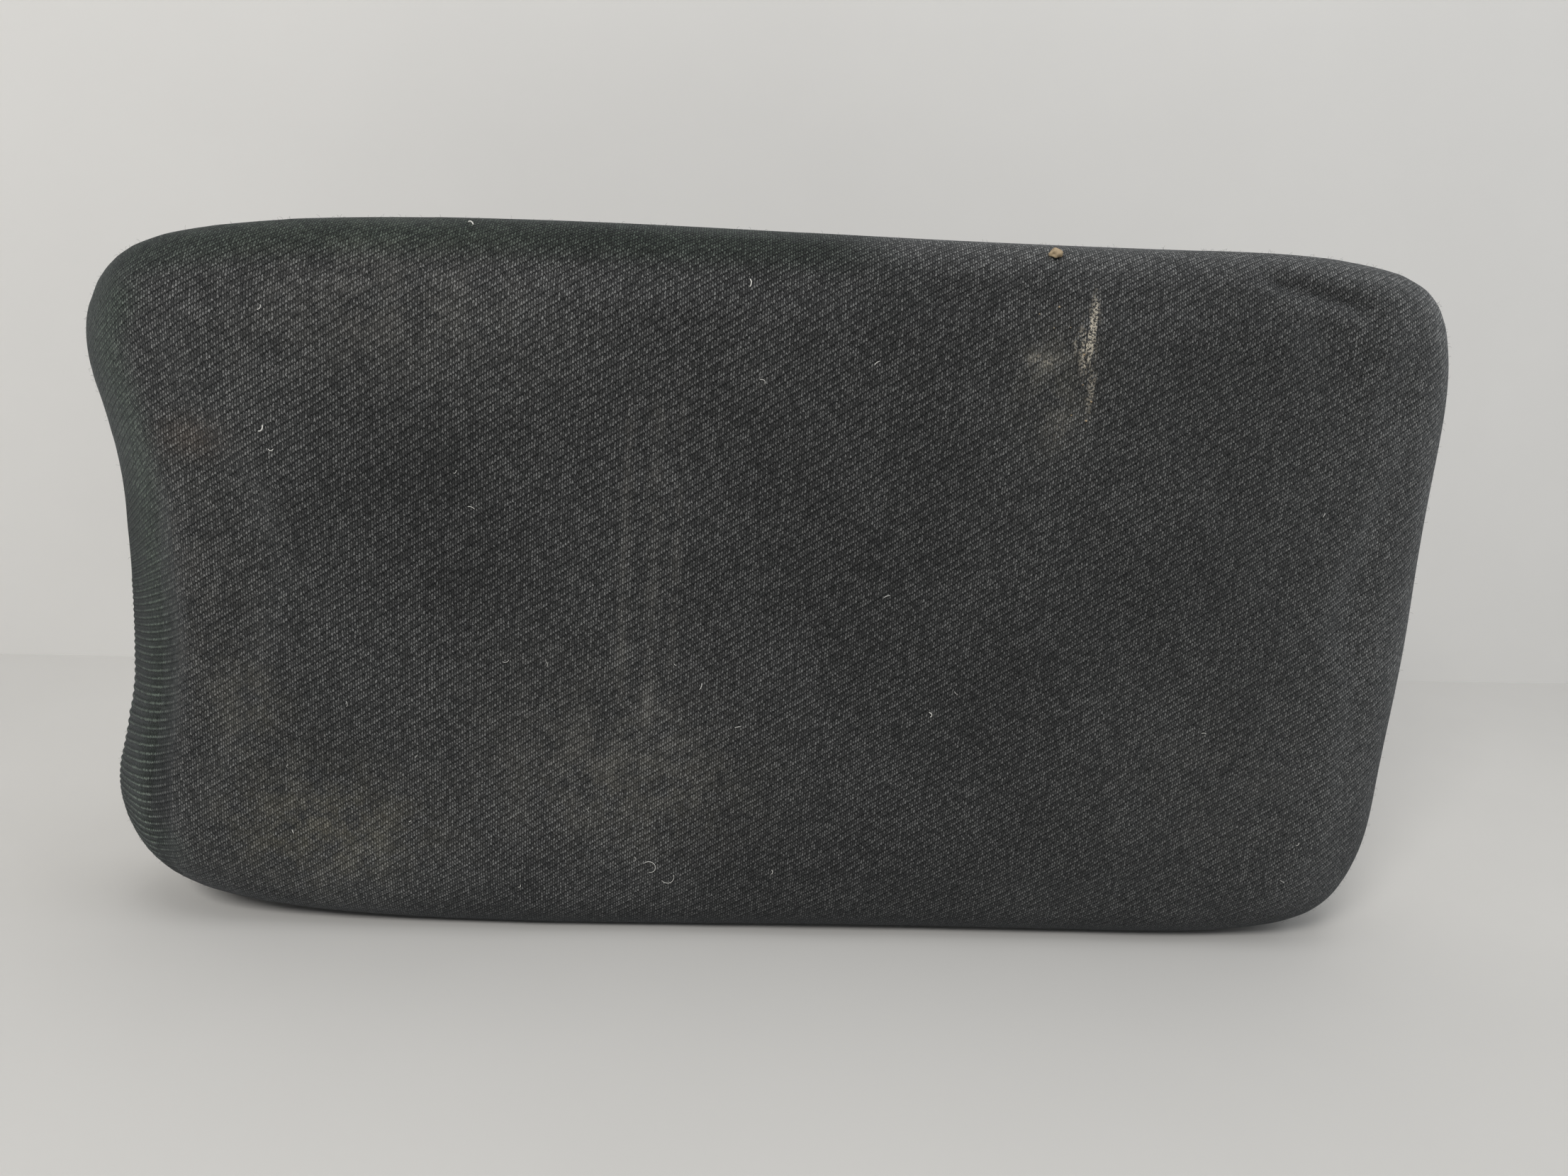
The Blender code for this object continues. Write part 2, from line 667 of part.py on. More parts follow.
def make_bolt_stacks(board):
    """Each clamp bolt with its washer, and the tee nut that it screws into from behind."""
    washer_base = SHEET_BACK + GAP
    head_base = washer_base + WASHER_THICKNESS + GAP
    head, height = BOLT_HEAD_RADIUS, BOLT_HEAD_HEIGHT
    bolt_profile = (
        (0.0, height),
        (head * 0.55, height),
        (head * 0.9, height * 0.65),
        (head, height * 0.25),
        (head, 0.0),
        (BOLT_RADIUS, 0.0),
        (BOLT_RADIUS, -BOLT_LENGTH),
        (0.0, -BOLT_LENGTH),
    )
    bore = BOLT_RADIUS + GAP
    washer_profile = (
        (WASHER_RADIUS, WASHER_THICKNESS),
        (WASHER_RADIUS, 0.0),
        (bore, 0.0),
        (bore, WASHER_THICKNESS),
    )
    flange_back = TEE_NUT_FLANGE
    nut_end = TEE_NUT_FLANGE + TEE_NUT_BARREL_LENGTH
    nut_profile = (
        (TEE_NUT_BARREL_RADIUS, nut_end),
        (TEE_NUT_BARREL_RADIUS, flange_back),
        (TEE_NUT_FLANGE_RADIUS, flange_back),
        (TEE_NUT_FLANGE_RADIUS, 0.0),
        (bore, 0.0),
        (bore, nut_end),
    )
    seat_profile = (
        (0.0, BOARD_THICKNESS + CUT_MARGIN),
        (TEE_NUT_BARREL_RADIUS + GAP, BOARD_THICKNESS + CUT_MARGIN),
        (TEE_NUT_BARREL_RADIUS + GAP, flange_back + GAP),
        (TEE_NUT_FLANGE_RADIUS + GAP, flange_back + GAP),
        (TEE_NUT_FLANGE_RADIUS + GAP, -CUT_MARGIN),
        (0.0, -CUT_MARGIN),
    )
    for side, x in (("left", -CLAMP_X), ("right", CLAMP_X)):
        for i, z in enumerate(BOLT_HEIGHTS, 1):
            bolt = turned(f"{side}_bracket_bolt_{i}", bolt_profile, STEEL, FASTENER_SIDES)
            bolt.location = (x, world_y(head_base), z)
            face_back(bolt)
            middle = (x, world_y(head_base + height), z)
            socket = rod_cutter(
                f"{side}_socket_{i}", middle, SOCKET_RADIUS, 2 * SOCKET_DEPTH, (0, 1, 0), 6
            )
            boolean(bolt, socket)
            washer = turned(f"{side}_washer_{i}", washer_profile, STEEL, FASTENER_SIDES, True)
            washer.location = (x, world_y(washer_base), z)
            face_back(washer)
            nut = turned(f"{side}_tee_nut_{i}", nut_profile, STEEL, FASTENER_SIDES, True)
            nut.location = (x, world_y(BOARD_FRONT), z)
            face_back(nut)
            seat_name = f"{side}_tee_nut_seat_{i}"
            seat = turned(seat_name, seat_profile, None, FASTENER_SIDES, collection=CUTTERS)
            seat.location = nut.location
            face_back(seat)
            boolean(board, seat)


def make_foot(side, x, travel):
    socket = SPINDLE_TIP_RADIUS + GAP
    profile = (
        (0.0, FOOT_TOP),
        (FOOT_RADIUS, FOOT_TOP),
        (FOOT_RADIUS, FOOT_BASE),
        (socket, FOOT_BASE),
        (socket, FOOT_BASE + SPINDLE_TIP + GAP),
        (0.0, FOOT_BASE + SPINDLE_TIP + GAP),
    )
    foot = turned(f"{side}_clamp_foot", profile, STEEL)
    bevel(foot, FINE_EDGE, segments=1)
    pad_profile = (
        (0.0, FOOT_PAD_TOP),
        (FOOT_RADIUS - FOOT_PAD_INSET - FINE_EDGE, FOOT_PAD_TOP),
        (FOOT_RADIUS - FOOT_PAD_INSET, FOOT_PAD_TOP - FINE_EDGE),
        (FOOT_RADIUS - FOOT_PAD_INSET, FOOT_TOP + GAP),
        (0.0, FOOT_TOP + GAP),
    )
    pad = turned(f"{side}_foot_pad", pad_profile, BLACK_RUBBER)
    for piece in (foot, pad):
        hang_on(piece, travel, (x, world_y(SPINDLE_DEPTH), 0.0))


def make_screw(side, x, turn):
    """Spindle, lock nut and lobed knob, which turn together."""
    place = (x, world_y(SPINDLE_DEPTH), 0.0)
    bore_base = KNOB_TOP - KNOB_BORE
    spindle_profile = (
        (0.0, FOOT_BASE + SPINDLE_TIP),
        (SPINDLE_TIP_RADIUS, FOOT_BASE + SPINDLE_TIP),
        (SPINDLE_TIP_RADIUS, FOOT_BASE - GAP),
        (SPINDLE_RADIUS, FOOT_BASE - GAP),
        (SPINDLE_RADIUS, bore_base + GAP),
        (0.0, bore_base + GAP),
    )
    spindle = turned(f"{side}_clamp_spindle", spindle_profile, STEEL, SPINDLE_SIDES)
    hang_on(spindle, turn, place)

    count = LOBE_POINTS * KNOB_LOBES
    angles = [i * math.tau / count for i in range(count)]
    reaches = [KNOB_RADIUS - KNOB_LOBE * (1 - math.cos(KNOB_LOBES * a)) for a in angles]
    outline = [(r * math.cos(a), r * math.sin(a)) for a, r in zip(angles, reaches)]
    knob = plate(f"{side}_clamp_knob", outline, KNOB_HEIGHT, BLACK_PLASTIC)
    hang_on(knob, turn, (place[0], place[1], KNOB_BASE_Z + KNOB_HEIGHT / 2))
    bevel(knob, KNOB_EDGE, segments=1)

    nut = rod_cutter(
        f"{side}_lock_nut",
        (place[0], place[1], KNOB_TOP + GAP + LOCK_NUT_HEIGHT / 2),
        LOCK_NUT_RADIUS,
        LOCK_NUT_HEIGHT,
        (0, 0, 1),
        6,
    )
    CUTTERS.objects.unlink(nut)
    PARTS.objects.link(nut)
    nut.data.materials.append(STEEL)
    hang_on(nut, turn, tuple(nut.location))

    length = KNOB_BORE + LOCK_NUT_HEIGHT + 2 * CUT_MARGIN
    middle = (place[0], place[1], bore_base + length / 2)
    bore = rod_cutter(f"{side}_spindle_bore", middle, SPINDLE_RADIUS + GAP, length, (0, 0, 1))
    boolean(knob, bore)
    boolean(nut, bore)


def hang_on(piece, empty, place):
    """Places a piece in the world and makes it a child of an axis empty."""
    piece.location = Vector(place) - empty.location
    piece.parent = empty


def make_axis(name, x):
    """An empty on a clamp's screw axis, at the height of the foot's underside."""
    empty = bpy.data.objects.new(name, None)
    PARTS.objects.link(empty)
    empty.location = (x, world_y(SPINDLE_DEPTH), FOOT_BASE)
    return empty


def make_clamp(side, x):
    make_bracket(side, x)
    make_jaw_pad(side, x)
    make_bush(side, x)
    make_foot(side, x, make_axis(f"{side}_foot_travel_axis", x))
    make_screw(side, x, make_axis(f"{side}_screw_turn_axis", x))


def main():
    fabric = make_fabric_cover()
    make_foam_pad()
    board = make_core_board()
    make_staples(board, fabric)
    cover = make_rear_cover()
    cut_cover_windows(cover)
    add_cover_bosses(cover, board)
    make_cover_screws()
    make_bolt_stacks(board)
    for side, sign in (("left", -1), ("right", 1)):
        make_bumper(side, sign * BUMPER_X)
        make_clamp(side, sign * CLAMP_X)


main()
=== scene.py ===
"""Looks of the upholstered desk privacy panel: its padded twill cover, its hardware and the studio."""

import math
import random

import bmesh
import bpy
import numpy as np
from mathutils import Matrix, Vector, noise
from mathutils.bvhtree import BVHTree
from mathutils.kdtree import KDTree


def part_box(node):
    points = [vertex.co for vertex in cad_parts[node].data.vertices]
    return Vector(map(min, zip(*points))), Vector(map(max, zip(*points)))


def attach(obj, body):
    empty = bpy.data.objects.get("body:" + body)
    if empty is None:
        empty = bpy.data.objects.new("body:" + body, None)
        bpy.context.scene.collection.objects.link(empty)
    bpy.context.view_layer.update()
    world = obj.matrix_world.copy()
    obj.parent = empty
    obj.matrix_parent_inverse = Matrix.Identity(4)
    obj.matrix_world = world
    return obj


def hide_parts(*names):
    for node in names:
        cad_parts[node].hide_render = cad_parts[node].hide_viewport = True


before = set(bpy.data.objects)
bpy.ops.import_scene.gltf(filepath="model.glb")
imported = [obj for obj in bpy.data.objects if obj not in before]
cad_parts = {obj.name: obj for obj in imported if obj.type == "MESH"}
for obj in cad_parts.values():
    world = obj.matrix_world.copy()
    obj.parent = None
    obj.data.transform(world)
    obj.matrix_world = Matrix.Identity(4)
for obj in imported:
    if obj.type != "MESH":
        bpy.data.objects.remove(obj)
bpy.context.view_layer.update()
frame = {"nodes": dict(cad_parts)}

# ------------------------------------------------------------------ sizes, in metres
PANEL_LOW, PANEL_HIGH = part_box("fabric_cover")
FACE_Y = PANEL_LOW.y
PAD_DEPTH = PANEL_HIGH.y - PANEL_LOW.y

# The pad's widest outline, clockwise from the middle of its concave end: x and height.
OUTLINE_KNOTS = (
    (-0.2330, 0.1265),
    (-0.2380, 0.1820),
    (-0.2430, 0.2120),
    (-0.2340, 0.2325),
    (-0.1970, 0.2485),
    (-0.1360, 0.2555),
    (0.0095, 0.2602),
    (0.1400, 0.2640),
    (0.1970, 0.2636),
    (0.2285, 0.2530),
    (0.2392, 0.2270),
    (0.2412, 0.1800),
    (0.2428, 0.1200),
    (0.2422, 0.0700),
    (0.2395, 0.0370),
    (0.2275, 0.0145),
    (0.2000, 0.0030),
    (0.1550, 0.0000),
    (0.0135, 0.0000),
    (-0.1320, 0.0000),
    (-0.1935, 0.0058),
    (-0.2280, 0.0205),
    (-0.2412, 0.0420),
    (-0.2372, 0.0720),
)
KNOT_SPAN_POINTS = 60
ROUND_LONG = 0.020  # rounding from the face into the long sides
ROUND_CONVEX = 0.024
ROUND_CONCAVE = 0.025
SLOPE_CONCAVE = 0.6  # 0 rounds the concave end's side, 1 makes it a straight slope
ROUND_BACK = 0.006
FACE_STEPS = 10
BACK_STEPS = 5
HEM_WIDTH = 0.021
FABRIC = 0.0011
FLOOR_GAP = 0.0004  # the cloth's lowest point above the floor
GAP_SPAN = 12  # outline points over which the cloth's shrinkage is averaged

VOXEL = 0.004
CROWN_ROOM = 0.0022  # how far the face starts behind its finished place
EDGE_CAP = 0.0026  # the most that the pressed face may swell beside its rounded edge
CROWN_CAP = 0.0042  # and in the middle
SIDE_CAP = 0.0006
CLOTH_FRAMES = 20

COLUMN = 0.00086  # width of one column of floats
LOOP = 0.00145  # height of one float
COLUMN_STEP = 0.4  # floats that each column sits above the one on its left
WALE_SLOPE = COLUMN_STEP * LOOP / COLUMN
WALE_PITCH = 2 * LOOP


# ------------------------------------------------------------------ small helpers
def smoothstep(value, low, high):
    t = np.clip((value - low) / (high - low), 0.0, 1.0)
    return t * t * (3 - 2 * t)


def bump_of(value, centre, width):
    return np.exp(-(((value - centre) / width) ** 2))


def link(name, mesh):
    made = bpy.data.objects.new(name, mesh)
    bpy.context.scene.collection.objects.link(made)
    return made


def skin(bm, rows):
    """Faces between each ring of vertices and the next."""
    for row, following in zip(rows, rows[1:]):
        for i in range(len(row)):
            j = (i + 1) % len(row)
            bm.faces.new((row[i], row[j], following[j], following[i]))


def mesh_from(bm, name, sharp_deg=35):
    bmesh.ops.recalc_face_normals(bm, faces=bm.faces)
    mesh = bpy.data.meshes.new(name)
    bm.to_mesh(mesh)
    bm.free()
    mesh.shade_smooth()
    mesh.set_sharp_from_angle(angle=math.radians(sharp_deg))
    return mesh


def bake_modifiers(target):
    """Puts the result of an object's modifiers into its mesh."""
    evaluated = target.evaluated_get(bpy.context.evaluated_depsgraph_get())
    mesh = bpy.data.meshes.new_from_object(evaluated)
    target.modifiers.clear()
    target.data = mesh
    return target


def coordinates(mesh):
    found = np.zeros(len(mesh.vertices) * 3)
    mesh.vertices.foreach_get("co", found)
    return found.reshape(-1, 3)


def move_points(mesh, points):
    mesh.vertices.foreach_set("co", np.asarray(points).ravel())
    mesh.update()


def normals_of(mesh):
    found = np.zeros(len(mesh.vertices) * 3, np.float32)
    mesh.vertex_normals.foreach_get("vector", found)
    return found.reshape(-1, 3).astype(float)


# ------------------------------------------------------------------ the pad's outline
def spline_points(knots, per_span):
    """Points along the closed curve through the knots, smooth in slope and curvature."""
    knots = np.array(knots)
    count = len(knots)
    chords = np.linalg.norm(np.roll(knots, -1, axis=0) - knots, axis=1)
    system = np.zeros((count, count))
    target = np.zeros((count, 2))
    for i in range(count):
        after = (i + 1) % count
        behind, ahead = chords[i - 1], chords[i]
        system[i, i - 1] = ahead
        system[i, i] = 2 * (behind + ahead)
        system[i, after] = behind
        rise_behind = (knots[i] - knots[i - 1]) * ahead / behind
        rise_ahead = (knots[after] - knots[i]) * behind / ahead
        target[i] = 3 * (rise_behind + rise_ahead)
    slopes = np.linalg.solve(system, target)
    t = np.linspace(0.0, 1.0, per_span, endpoint=False)[:, None]
    spans = []
    for i in range(count):
        after = (i + 1) % count
        start = (1 + 2 * t) * (1 - t) ** 2 * knots[i]
        leave = t * (1 - t) ** 2 * chords[i] * slopes[i]
        end = t**2 * (3 - 2 * t) * knots[after]
        arrive = t**2 * (t - 1) * chords[i] * slopes[after]
        spans.append(start + leave + end + arrive)
    return np.vstack(spans)


def outward(points):
    """Unit normals of a closed outline that runs clockwise in X and Z."""
    along = np.roll(points, -1, axis=0) - np.roll(points, 1, axis=0)
    along /= np.linalg.norm(along, axis=1)[:, None]
    return np.stack([-along[:, 1], along[:, 0]], axis=1)


OUTLINE = spline_points(OUTLINE_KNOTS, KNOT_SPAN_POINTS)
OUTLINE[:, 0] -= (OUTLINE[:, 0].max() + OUTLINE[:, 0].min()) / 2
NORMALS = outward(OUTLINE)
OUTLINE_TREE = KDTree(len(OUTLINE))
for place, (edge_x, edge_z) in enumerate(OUTLINE):
    OUTLINE_TREE.insert((edge_x, 0.0, edge_z), place)
OUTLINE_TREE.balance()


def rounding(normal_x):
    """Size of the face's rounding at an edge that faces this way, and its share of slope."""
    concave = np.maximum(-normal_x, 0.0) ** 2
    convex = np.maximum(normal_x, 0.0) ** 2
    size = ROUND_LONG + (ROUND_CONCAVE - ROUND_LONG) * concave + (ROUND_CONVEX - ROUND_LONG) * convex
    return size, SLOPE_CONCAVE * concave


def around(points):
    """For points on the pad: nearest outline point, its normal, the inset from it and the depth."""
    nearest = np.array([OUTLINE_TREE.find((p[0], 0.0, p[2]))[1] for p in points])
    edge, normal = OUTLINE[nearest], NORMALS[nearest]
    inset = ((edge - points[:, [0, 2]]) * normal).sum(axis=1)
    return edge, normal, inset, points[:, 1] - FACE_Y


# ------------------------------------------------------------------ the padded cover
def starting_solid():
    """A closed form of the pad with its face held back, for the cloth to swell from."""
    size, slope = rounding(NORMALS[:, 0])
    rings = []
    for i in range(FACE_STEPS + 1):
        t = i / FACE_STEPS
        angle = t * math.pi / 2
        inset = ((1 - slope) * (1 - math.sin(angle)) + slope * (1 - t)) * size
        depth = ((1 - slope) * (1 - math.cos(angle)) + slope * t) * size
        rings.append((inset, depth + CROWN_ROOM * (1 - t)))
    for i in range(BACK_STEPS + 1):
        angle = i / BACK_STEPS * math.pi / 2
        inset = np.full(len(OUTLINE), ROUND_BACK * (1 - math.cos(angle)))
        rings.append((inset, np.full(len(OUTLINE), PAD_DEPTH - ROUND_BACK * (1 - math.sin(angle)))))
    bm = bmesh.new()
    rows = []
    for inset, depth in rings:
        flat = OUTLINE - NORMALS * np.asarray(inset)[:, None]
        heights = np.maximum(flat[:, 1], FLOOR_GAP)
        rows.append([bm.verts.new((x, FACE_Y + d, z)) for x, z, d in zip(flat[:, 0], heights, depth)])
    skin(bm, rows)
    bm.faces.new(rows[0])
    bm.faces.new(rows[-1])
    return link("upholstered_pad", mesh_from(bm, "upholstered_pad"))


def remesh(pad):
    step = pad.modifiers.new("remesh", "REMESH")
    step.mode = "VOXEL"
    step.voxel_size = VOXEL
    step.use_smooth_shade = True
    return bake_modifiers(pad)


def swelling(pad):
    """How far each point moves when the cover is pressed outwards by its filling."""
    rest = coordinates(pad.data)
    _, _, _, depth = around(rest)
    held = np.maximum(smoothstep(depth, 0.030, 0.045), smoothstep(-rest[:, 2], -0.006, -0.002))
    group = pad.vertex_groups.new(name="held")
    for i, weight in enumerate(held):
        group.add([i], float(weight), "REPLACE")
    cloth = pad.modifiers.new("cloth", "CLOTH")
    settings = cloth.settings
    settings.quality = 6
    settings.mass = 0.25
    settings.tension_stiffness = 30
    settings.compression_stiffness = 30
    settings.shear_stiffness = 15
    settings.bending_stiffness = 1.5
    settings.use_pressure = True
    settings.uniform_pressure_force = 4
    settings.vertex_group_mass = group.name
    settings.effector_weights.gravity = 0
    scene = bpy.context.scene
    for number in range(1, CLOTH_FRAMES + 1):
        scene.frame_set(number)
    evaluated = pad.evaluated_get(bpy.context.evaluated_depsgraph_get())
    moved = ((coordinates(evaluated.to_mesh()) - rest) * normals_of(pad.data)).sum(axis=1)
    evaluated.to_mesh_clear()
    pad.modifiers.clear()
    pad.vertex_groups.clear()
    scene.frame_set(1)
    return moved


def swell(pad):
    rest = coordinates(pad.data)
    _, _, inset, depth = around(rest)
    face = smoothstep(inset, 0.002, 0.018) * (1 - smoothstep(depth, 0.006, 0.018))
    crown = EDGE_CAP + (CROWN_CAP - EDGE_CAP) * smoothstep(inset, 0.015, 0.110)
    cap = SIDE_CAP + (crown - SIDE_CAP) * face
    cap *= 1 - smoothstep(depth, 0.034, 0.042)
    outwards = normals_of(pad.data)
    moved = np.clip(swelling(pad), 0.0, cap)
    move_points(pad.data, rest + outwards * moved[:, None])


def relax_and_subdivide(pad):
    smooth = pad.modifiers.new("smooth", "SMOOTH")
    smooth.factor = 0.5
    smooth.iterations = 2
    finer = pad.modifiers.new("finer", "SUBSURF")
    finer.levels = 1
    finer.render_levels = 1
    return bake_modifiers(pad)


def fill_outline(points):
    """Moves the cloth out to its widest outline wherever smoothing has drawn it in."""
    nearest = np.array([OUTLINE_TREE.find((p[0], 0.0, p[2]))[1] for p in points])
    _, normal, inset, depth = around(points)
    on_wall = (depth > 0.022) & (depth < 0.040)
    span = nearest // GAP_SPAN
    spans = len(OUTLINE) // GAP_SPAN
    total = np.bincount(span[on_wall], inset[on_wall], spans)
    gap = total / np.maximum(np.bincount(span[on_wall], minlength=spans), 1)
    gap = (np.roll(gap, 1) + 2 * gap + np.roll(gap, -1)) / 4
    where = (np.arange(spans) + 0.5) * GAP_SPAN
    gap = np.interp(nearest, where, gap, period=len(OUTLINE))
    share = 1 - smoothstep(inset, 0.020, 0.060)
    points[:, [0, 2]] += normal * (gap * share)[:, None]


def seat_on_frame(pad):
    """Draws the side wall tight over the core board and lays the lower edge on the floor."""
    points = coordinates(pad.data)
    fill_outline(points)
    _, normal, inset, depth = around(points)
    wall = smoothstep(depth, 0.020, 0.040) * (1 - smoothstep(depth, 0.0515, 0.0530))
    wall *= inset < 0.005
    points[:, [0, 2]] += normal * (inset * wall)[:, None]
    on_back = (depth > PAD_DEPTH - 0.002) & (inset > ROUND_BACK)
    points[on_back, 1] = FACE_Y + PAD_DEPTH
    points[:, 1] = np.minimum(points[:, 1], FACE_Y + PAD_DEPTH)
    points[:, 2] = np.maximum(points[:, 2], FLOOR_GAP)
    move_points(pad.data, points)


EAR_REFINED = ((-0.250, -0.206), (0.015, 0.125))  # x and height of the stretch with raised wales
EAR_DEPTH = 0.040
EAR_CUTS = 2
REFINED_SMOOTHING = 3


def refine_ear(pad):
    """Smaller faces at the lower corner of the concave end, where single wales stand up."""
    bm = bmesh.new()
    bm.from_mesh(pad.data)
    (x_low, x_high), (z_low, z_high) = EAR_REFINED
    y_high = FACE_Y + EAR_DEPTH
    chosen = []
    for face in bm.faces:
        middle = face.calc_center_median()
        if x_low < middle.x < x_high and z_low < middle.z < z_high and middle.y < y_high:
            chosen.append(face)
    edges = list({e for f in chosen for e in f.edges})
    made = bmesh.ops.subdivide_edges(bm, edges=edges, cuts=EAR_CUTS, use_grid_fill=True)
    inner = [g for g in made["geom_inner"] if isinstance(g, bmesh.types.BMVert)]
    for _ in range(REFINED_SMOOTHING):
        bmesh.ops.smooth_vert(
            bm, verts=inner, factor=0.5, use_axis_x=True, use_axis_y=True, use_axis_z=True
        )
    bm.to_mesh(pad.data)
    bm.free()


CREASE_TOP = (-0.2126, 0.111)  # x and height of the crease where it starts
CREASE_LEAN = 0.052  # how far it drifts to the left for each metre down
CREASE_DEEP, CREASE_WIDE = 0.0013, 0.0042
CREASE_SWELL = 0.0005  # the low ridge beside it
WALE_HEIGHT = 0.00022
GROOVE_DEEP, GROOVE_WIDE = 0.0019, 0.0034
GROOVE_SWELL, SWELL_WIDE = 0.0009, 0.0040
GATHER_HEIGHT = 0.0004  # half the height of the hem's gathers at the corners
GATHERS = 34  # in one full turn of the outline


def fold_x(height):
    """Where the crease beside the concave end's side band runs, at a height."""
    return CREASE_TOP[0] - CREASE_LEAN * (CREASE_TOP[1] - height)


def cloth_coordinates(points):
    """Places on the flat cloth: x and height on the face, carried on round the sides."""
    edge, normal, inset, depth = around(points)
    size, _ = rounding(normal[:, 0])
    angle = np.arctan2(np.maximum(size - inset, 0.0), np.maximum(size - depth, 1e-6))
    arc = size * np.clip(angle, 0.0, math.pi / 2) + np.maximum(depth - size, 0.0)
    arc += np.where(depth > PAD_DEPTH - 0.001, np.maximum(inset, 0.0), 0.0)
    on_face = inset >= size
    tangent = np.stack([normal[:, 1], -normal[:, 0]], axis=1)
    beside = ((points[:, [0, 2]] - edge) * tangent).sum(axis=1)
    turned = edge + tangent * beside[:, None] + normal * (arc - size)[:, None]
    flat = np.where(on_face[:, None], points[:, [0, 2]], turned)
    u, v = flat[:, 0], flat[:, 1]
    crease = fold_x(points[:, 2])
    low = 1 - smoothstep(points[:, 2], 0.085, 0.170)
    beyond = np.maximum(crease + 0.004 - u, 0.0)
    beyond = beyond**2 / (beyond + 0.006)
    v = v - WALE_SLOPE * beyond * low
    standing = low * smoothstep(crease - u, -0.002, 0.006)
    standing *= 1 - smoothstep(depth, 0.026, 0.040)
    return u, v, standing


DENT = ((0.156, 0.2552), (0.196, 0.2480))  # the slack line under the convex end's top corner
WAVES = (  # unevenness of the stuffing: metres of height, waves per metre along x and z, phase
    (0.00035, 9.0, 5.0, 0.3),
    (0.00030, -6.0, 11.0, 1.9),
    (0.00022, 17.0, 8.0, 4.1),
    (0.00018, 13.0, -19.0, 2.6),
    (0.00012, 31.0, 23.0, 5.2),
)


def beside_line(points, ends):
    """Distance across a line drawn on the face, signed upwards, and its strength along itself."""
    start, end = np.array(ends[0]), np.array(ends[1])
    length = np.linalg.norm(end - start)
    along = (end - start) / length
    offset = points[:, [0, 2]] - start
    t = offset @ along
    across = offset @ np.array([-along[1], along[0]])
    strength = smoothstep(t, -0.006, 0.010) * (1 - smoothstep(t, length - 0.010, length + 0.008))
    return across, strength


def shape_cloth(pad):
    """The crease, wales, dent and soft unevenness that the cloth has pulled into."""
    points = coordinates(pad.data)
    normals = normals_of(pad.data)
    edge, normal, inset, depth = around(points)
    u, v, standing = cloth_coordinates(points)
    front = 1 - smoothstep(depth, 0.010, 0.026)
    lift = np.zeros(len(points))
    for height, per_x, per_z, phase in WAVES:
        lift += height * np.sin(math.tau * (per_x * points[:, 0] + per_z * points[:, 2]) + phase)
    lift *= front * smoothstep(inset, 0.0, 0.020)
    crease = fold_x(points[:, 2])
    length = smoothstep(points[:, 2], 0.018, 0.040) * (1 - smoothstep(points[:, 2], 0.120, 0.175))
    lift -= CREASE_DEEP * bump_of(points[:, 0], crease + 0.001, CREASE_WIDE) * length * front
    lift += CREASE_SWELL * bump_of(points[:, 0], crease - 0.0085, 0.0045) * length * front
    across, strength = beside_line(points, DENT)
    lift -= GROOVE_DEEP * bump_of(across, 0.0, GROOVE_WIDE) * strength * front
    lift += GROOVE_SWELL * bump_of(across, -0.0060, SWELL_WIDE) * strength * front
    wale = np.cos(math.tau * (v - WALE_SLOPE * u) / WALE_PITCH)
    lift += WALE_HEIGHT * wale * standing
    gather = np.maximum(np.abs(edge[:, 0]) - 0.205, 0.0) / 0.035
    corner = np.clip(gather, 0, 1) * smoothstep(np.abs(edge[:, 1] - 0.130), 0.085, 0.105)
    turning = np.arctan2(normal[:, 1], normal[:, 0])
    pleat = np.cos(turning * GATHERS) ** 3
    at_hem = smoothstep(depth, 0.046, 0.056) * (1 - smoothstep(inset, 0.009, 0.012))
    lift -= GATHER_HEIGHT * (1 + pleat) * corner * at_hem
    points += normals * lift[:, None]
    points[:, 1] = np.minimum(points[:, 1], FACE_Y + PAD_DEPTH)
    points[:, 2] = np.maximum(points[:, 2], FLOOR_GAP)
    move_points(pad.data, points)


# Dust and marks on the face: centre x and height, half sizes, strength.
PALE_DUST = (
    ((-0.068, 0.078), (0.048, 0.036), 0.45),
    ((-0.140, 0.228), (0.050, 0.028), 0.50),
    ((-0.205, 0.120), (0.022, 0.060), 0.35),
    ((0.165, 0.070), (0.055, 0.040), 0.20),
    ((0.081, 0.2225), (0.0075, 0.0050), 1.10),
    ((0.0895, 0.2000), (0.0060, 0.0100), 0.50),
)
YELLOW_DUST = (
    ((-0.160, 0.043), (0.034, 0.022), 0.90),
    ((-0.185, 0.088), (0.016, 0.020), 0.35),
    ((-0.048, 0.060), (0.040, 0.024), 0.35),
    ((0.087, 0.215), (0.014, 0.018), 0.40),
)
BROWN_MARKS = (((-0.201, 0.180), (0.011, 0.007), 0.90),)
FAINT_STREAKS = (  # x, width, strength
    (-0.0575, 0.0016, 0.55),
    (-0.0480, 0.0024, 0.50),
    (-0.0400, 0.0014, 0.45),
)


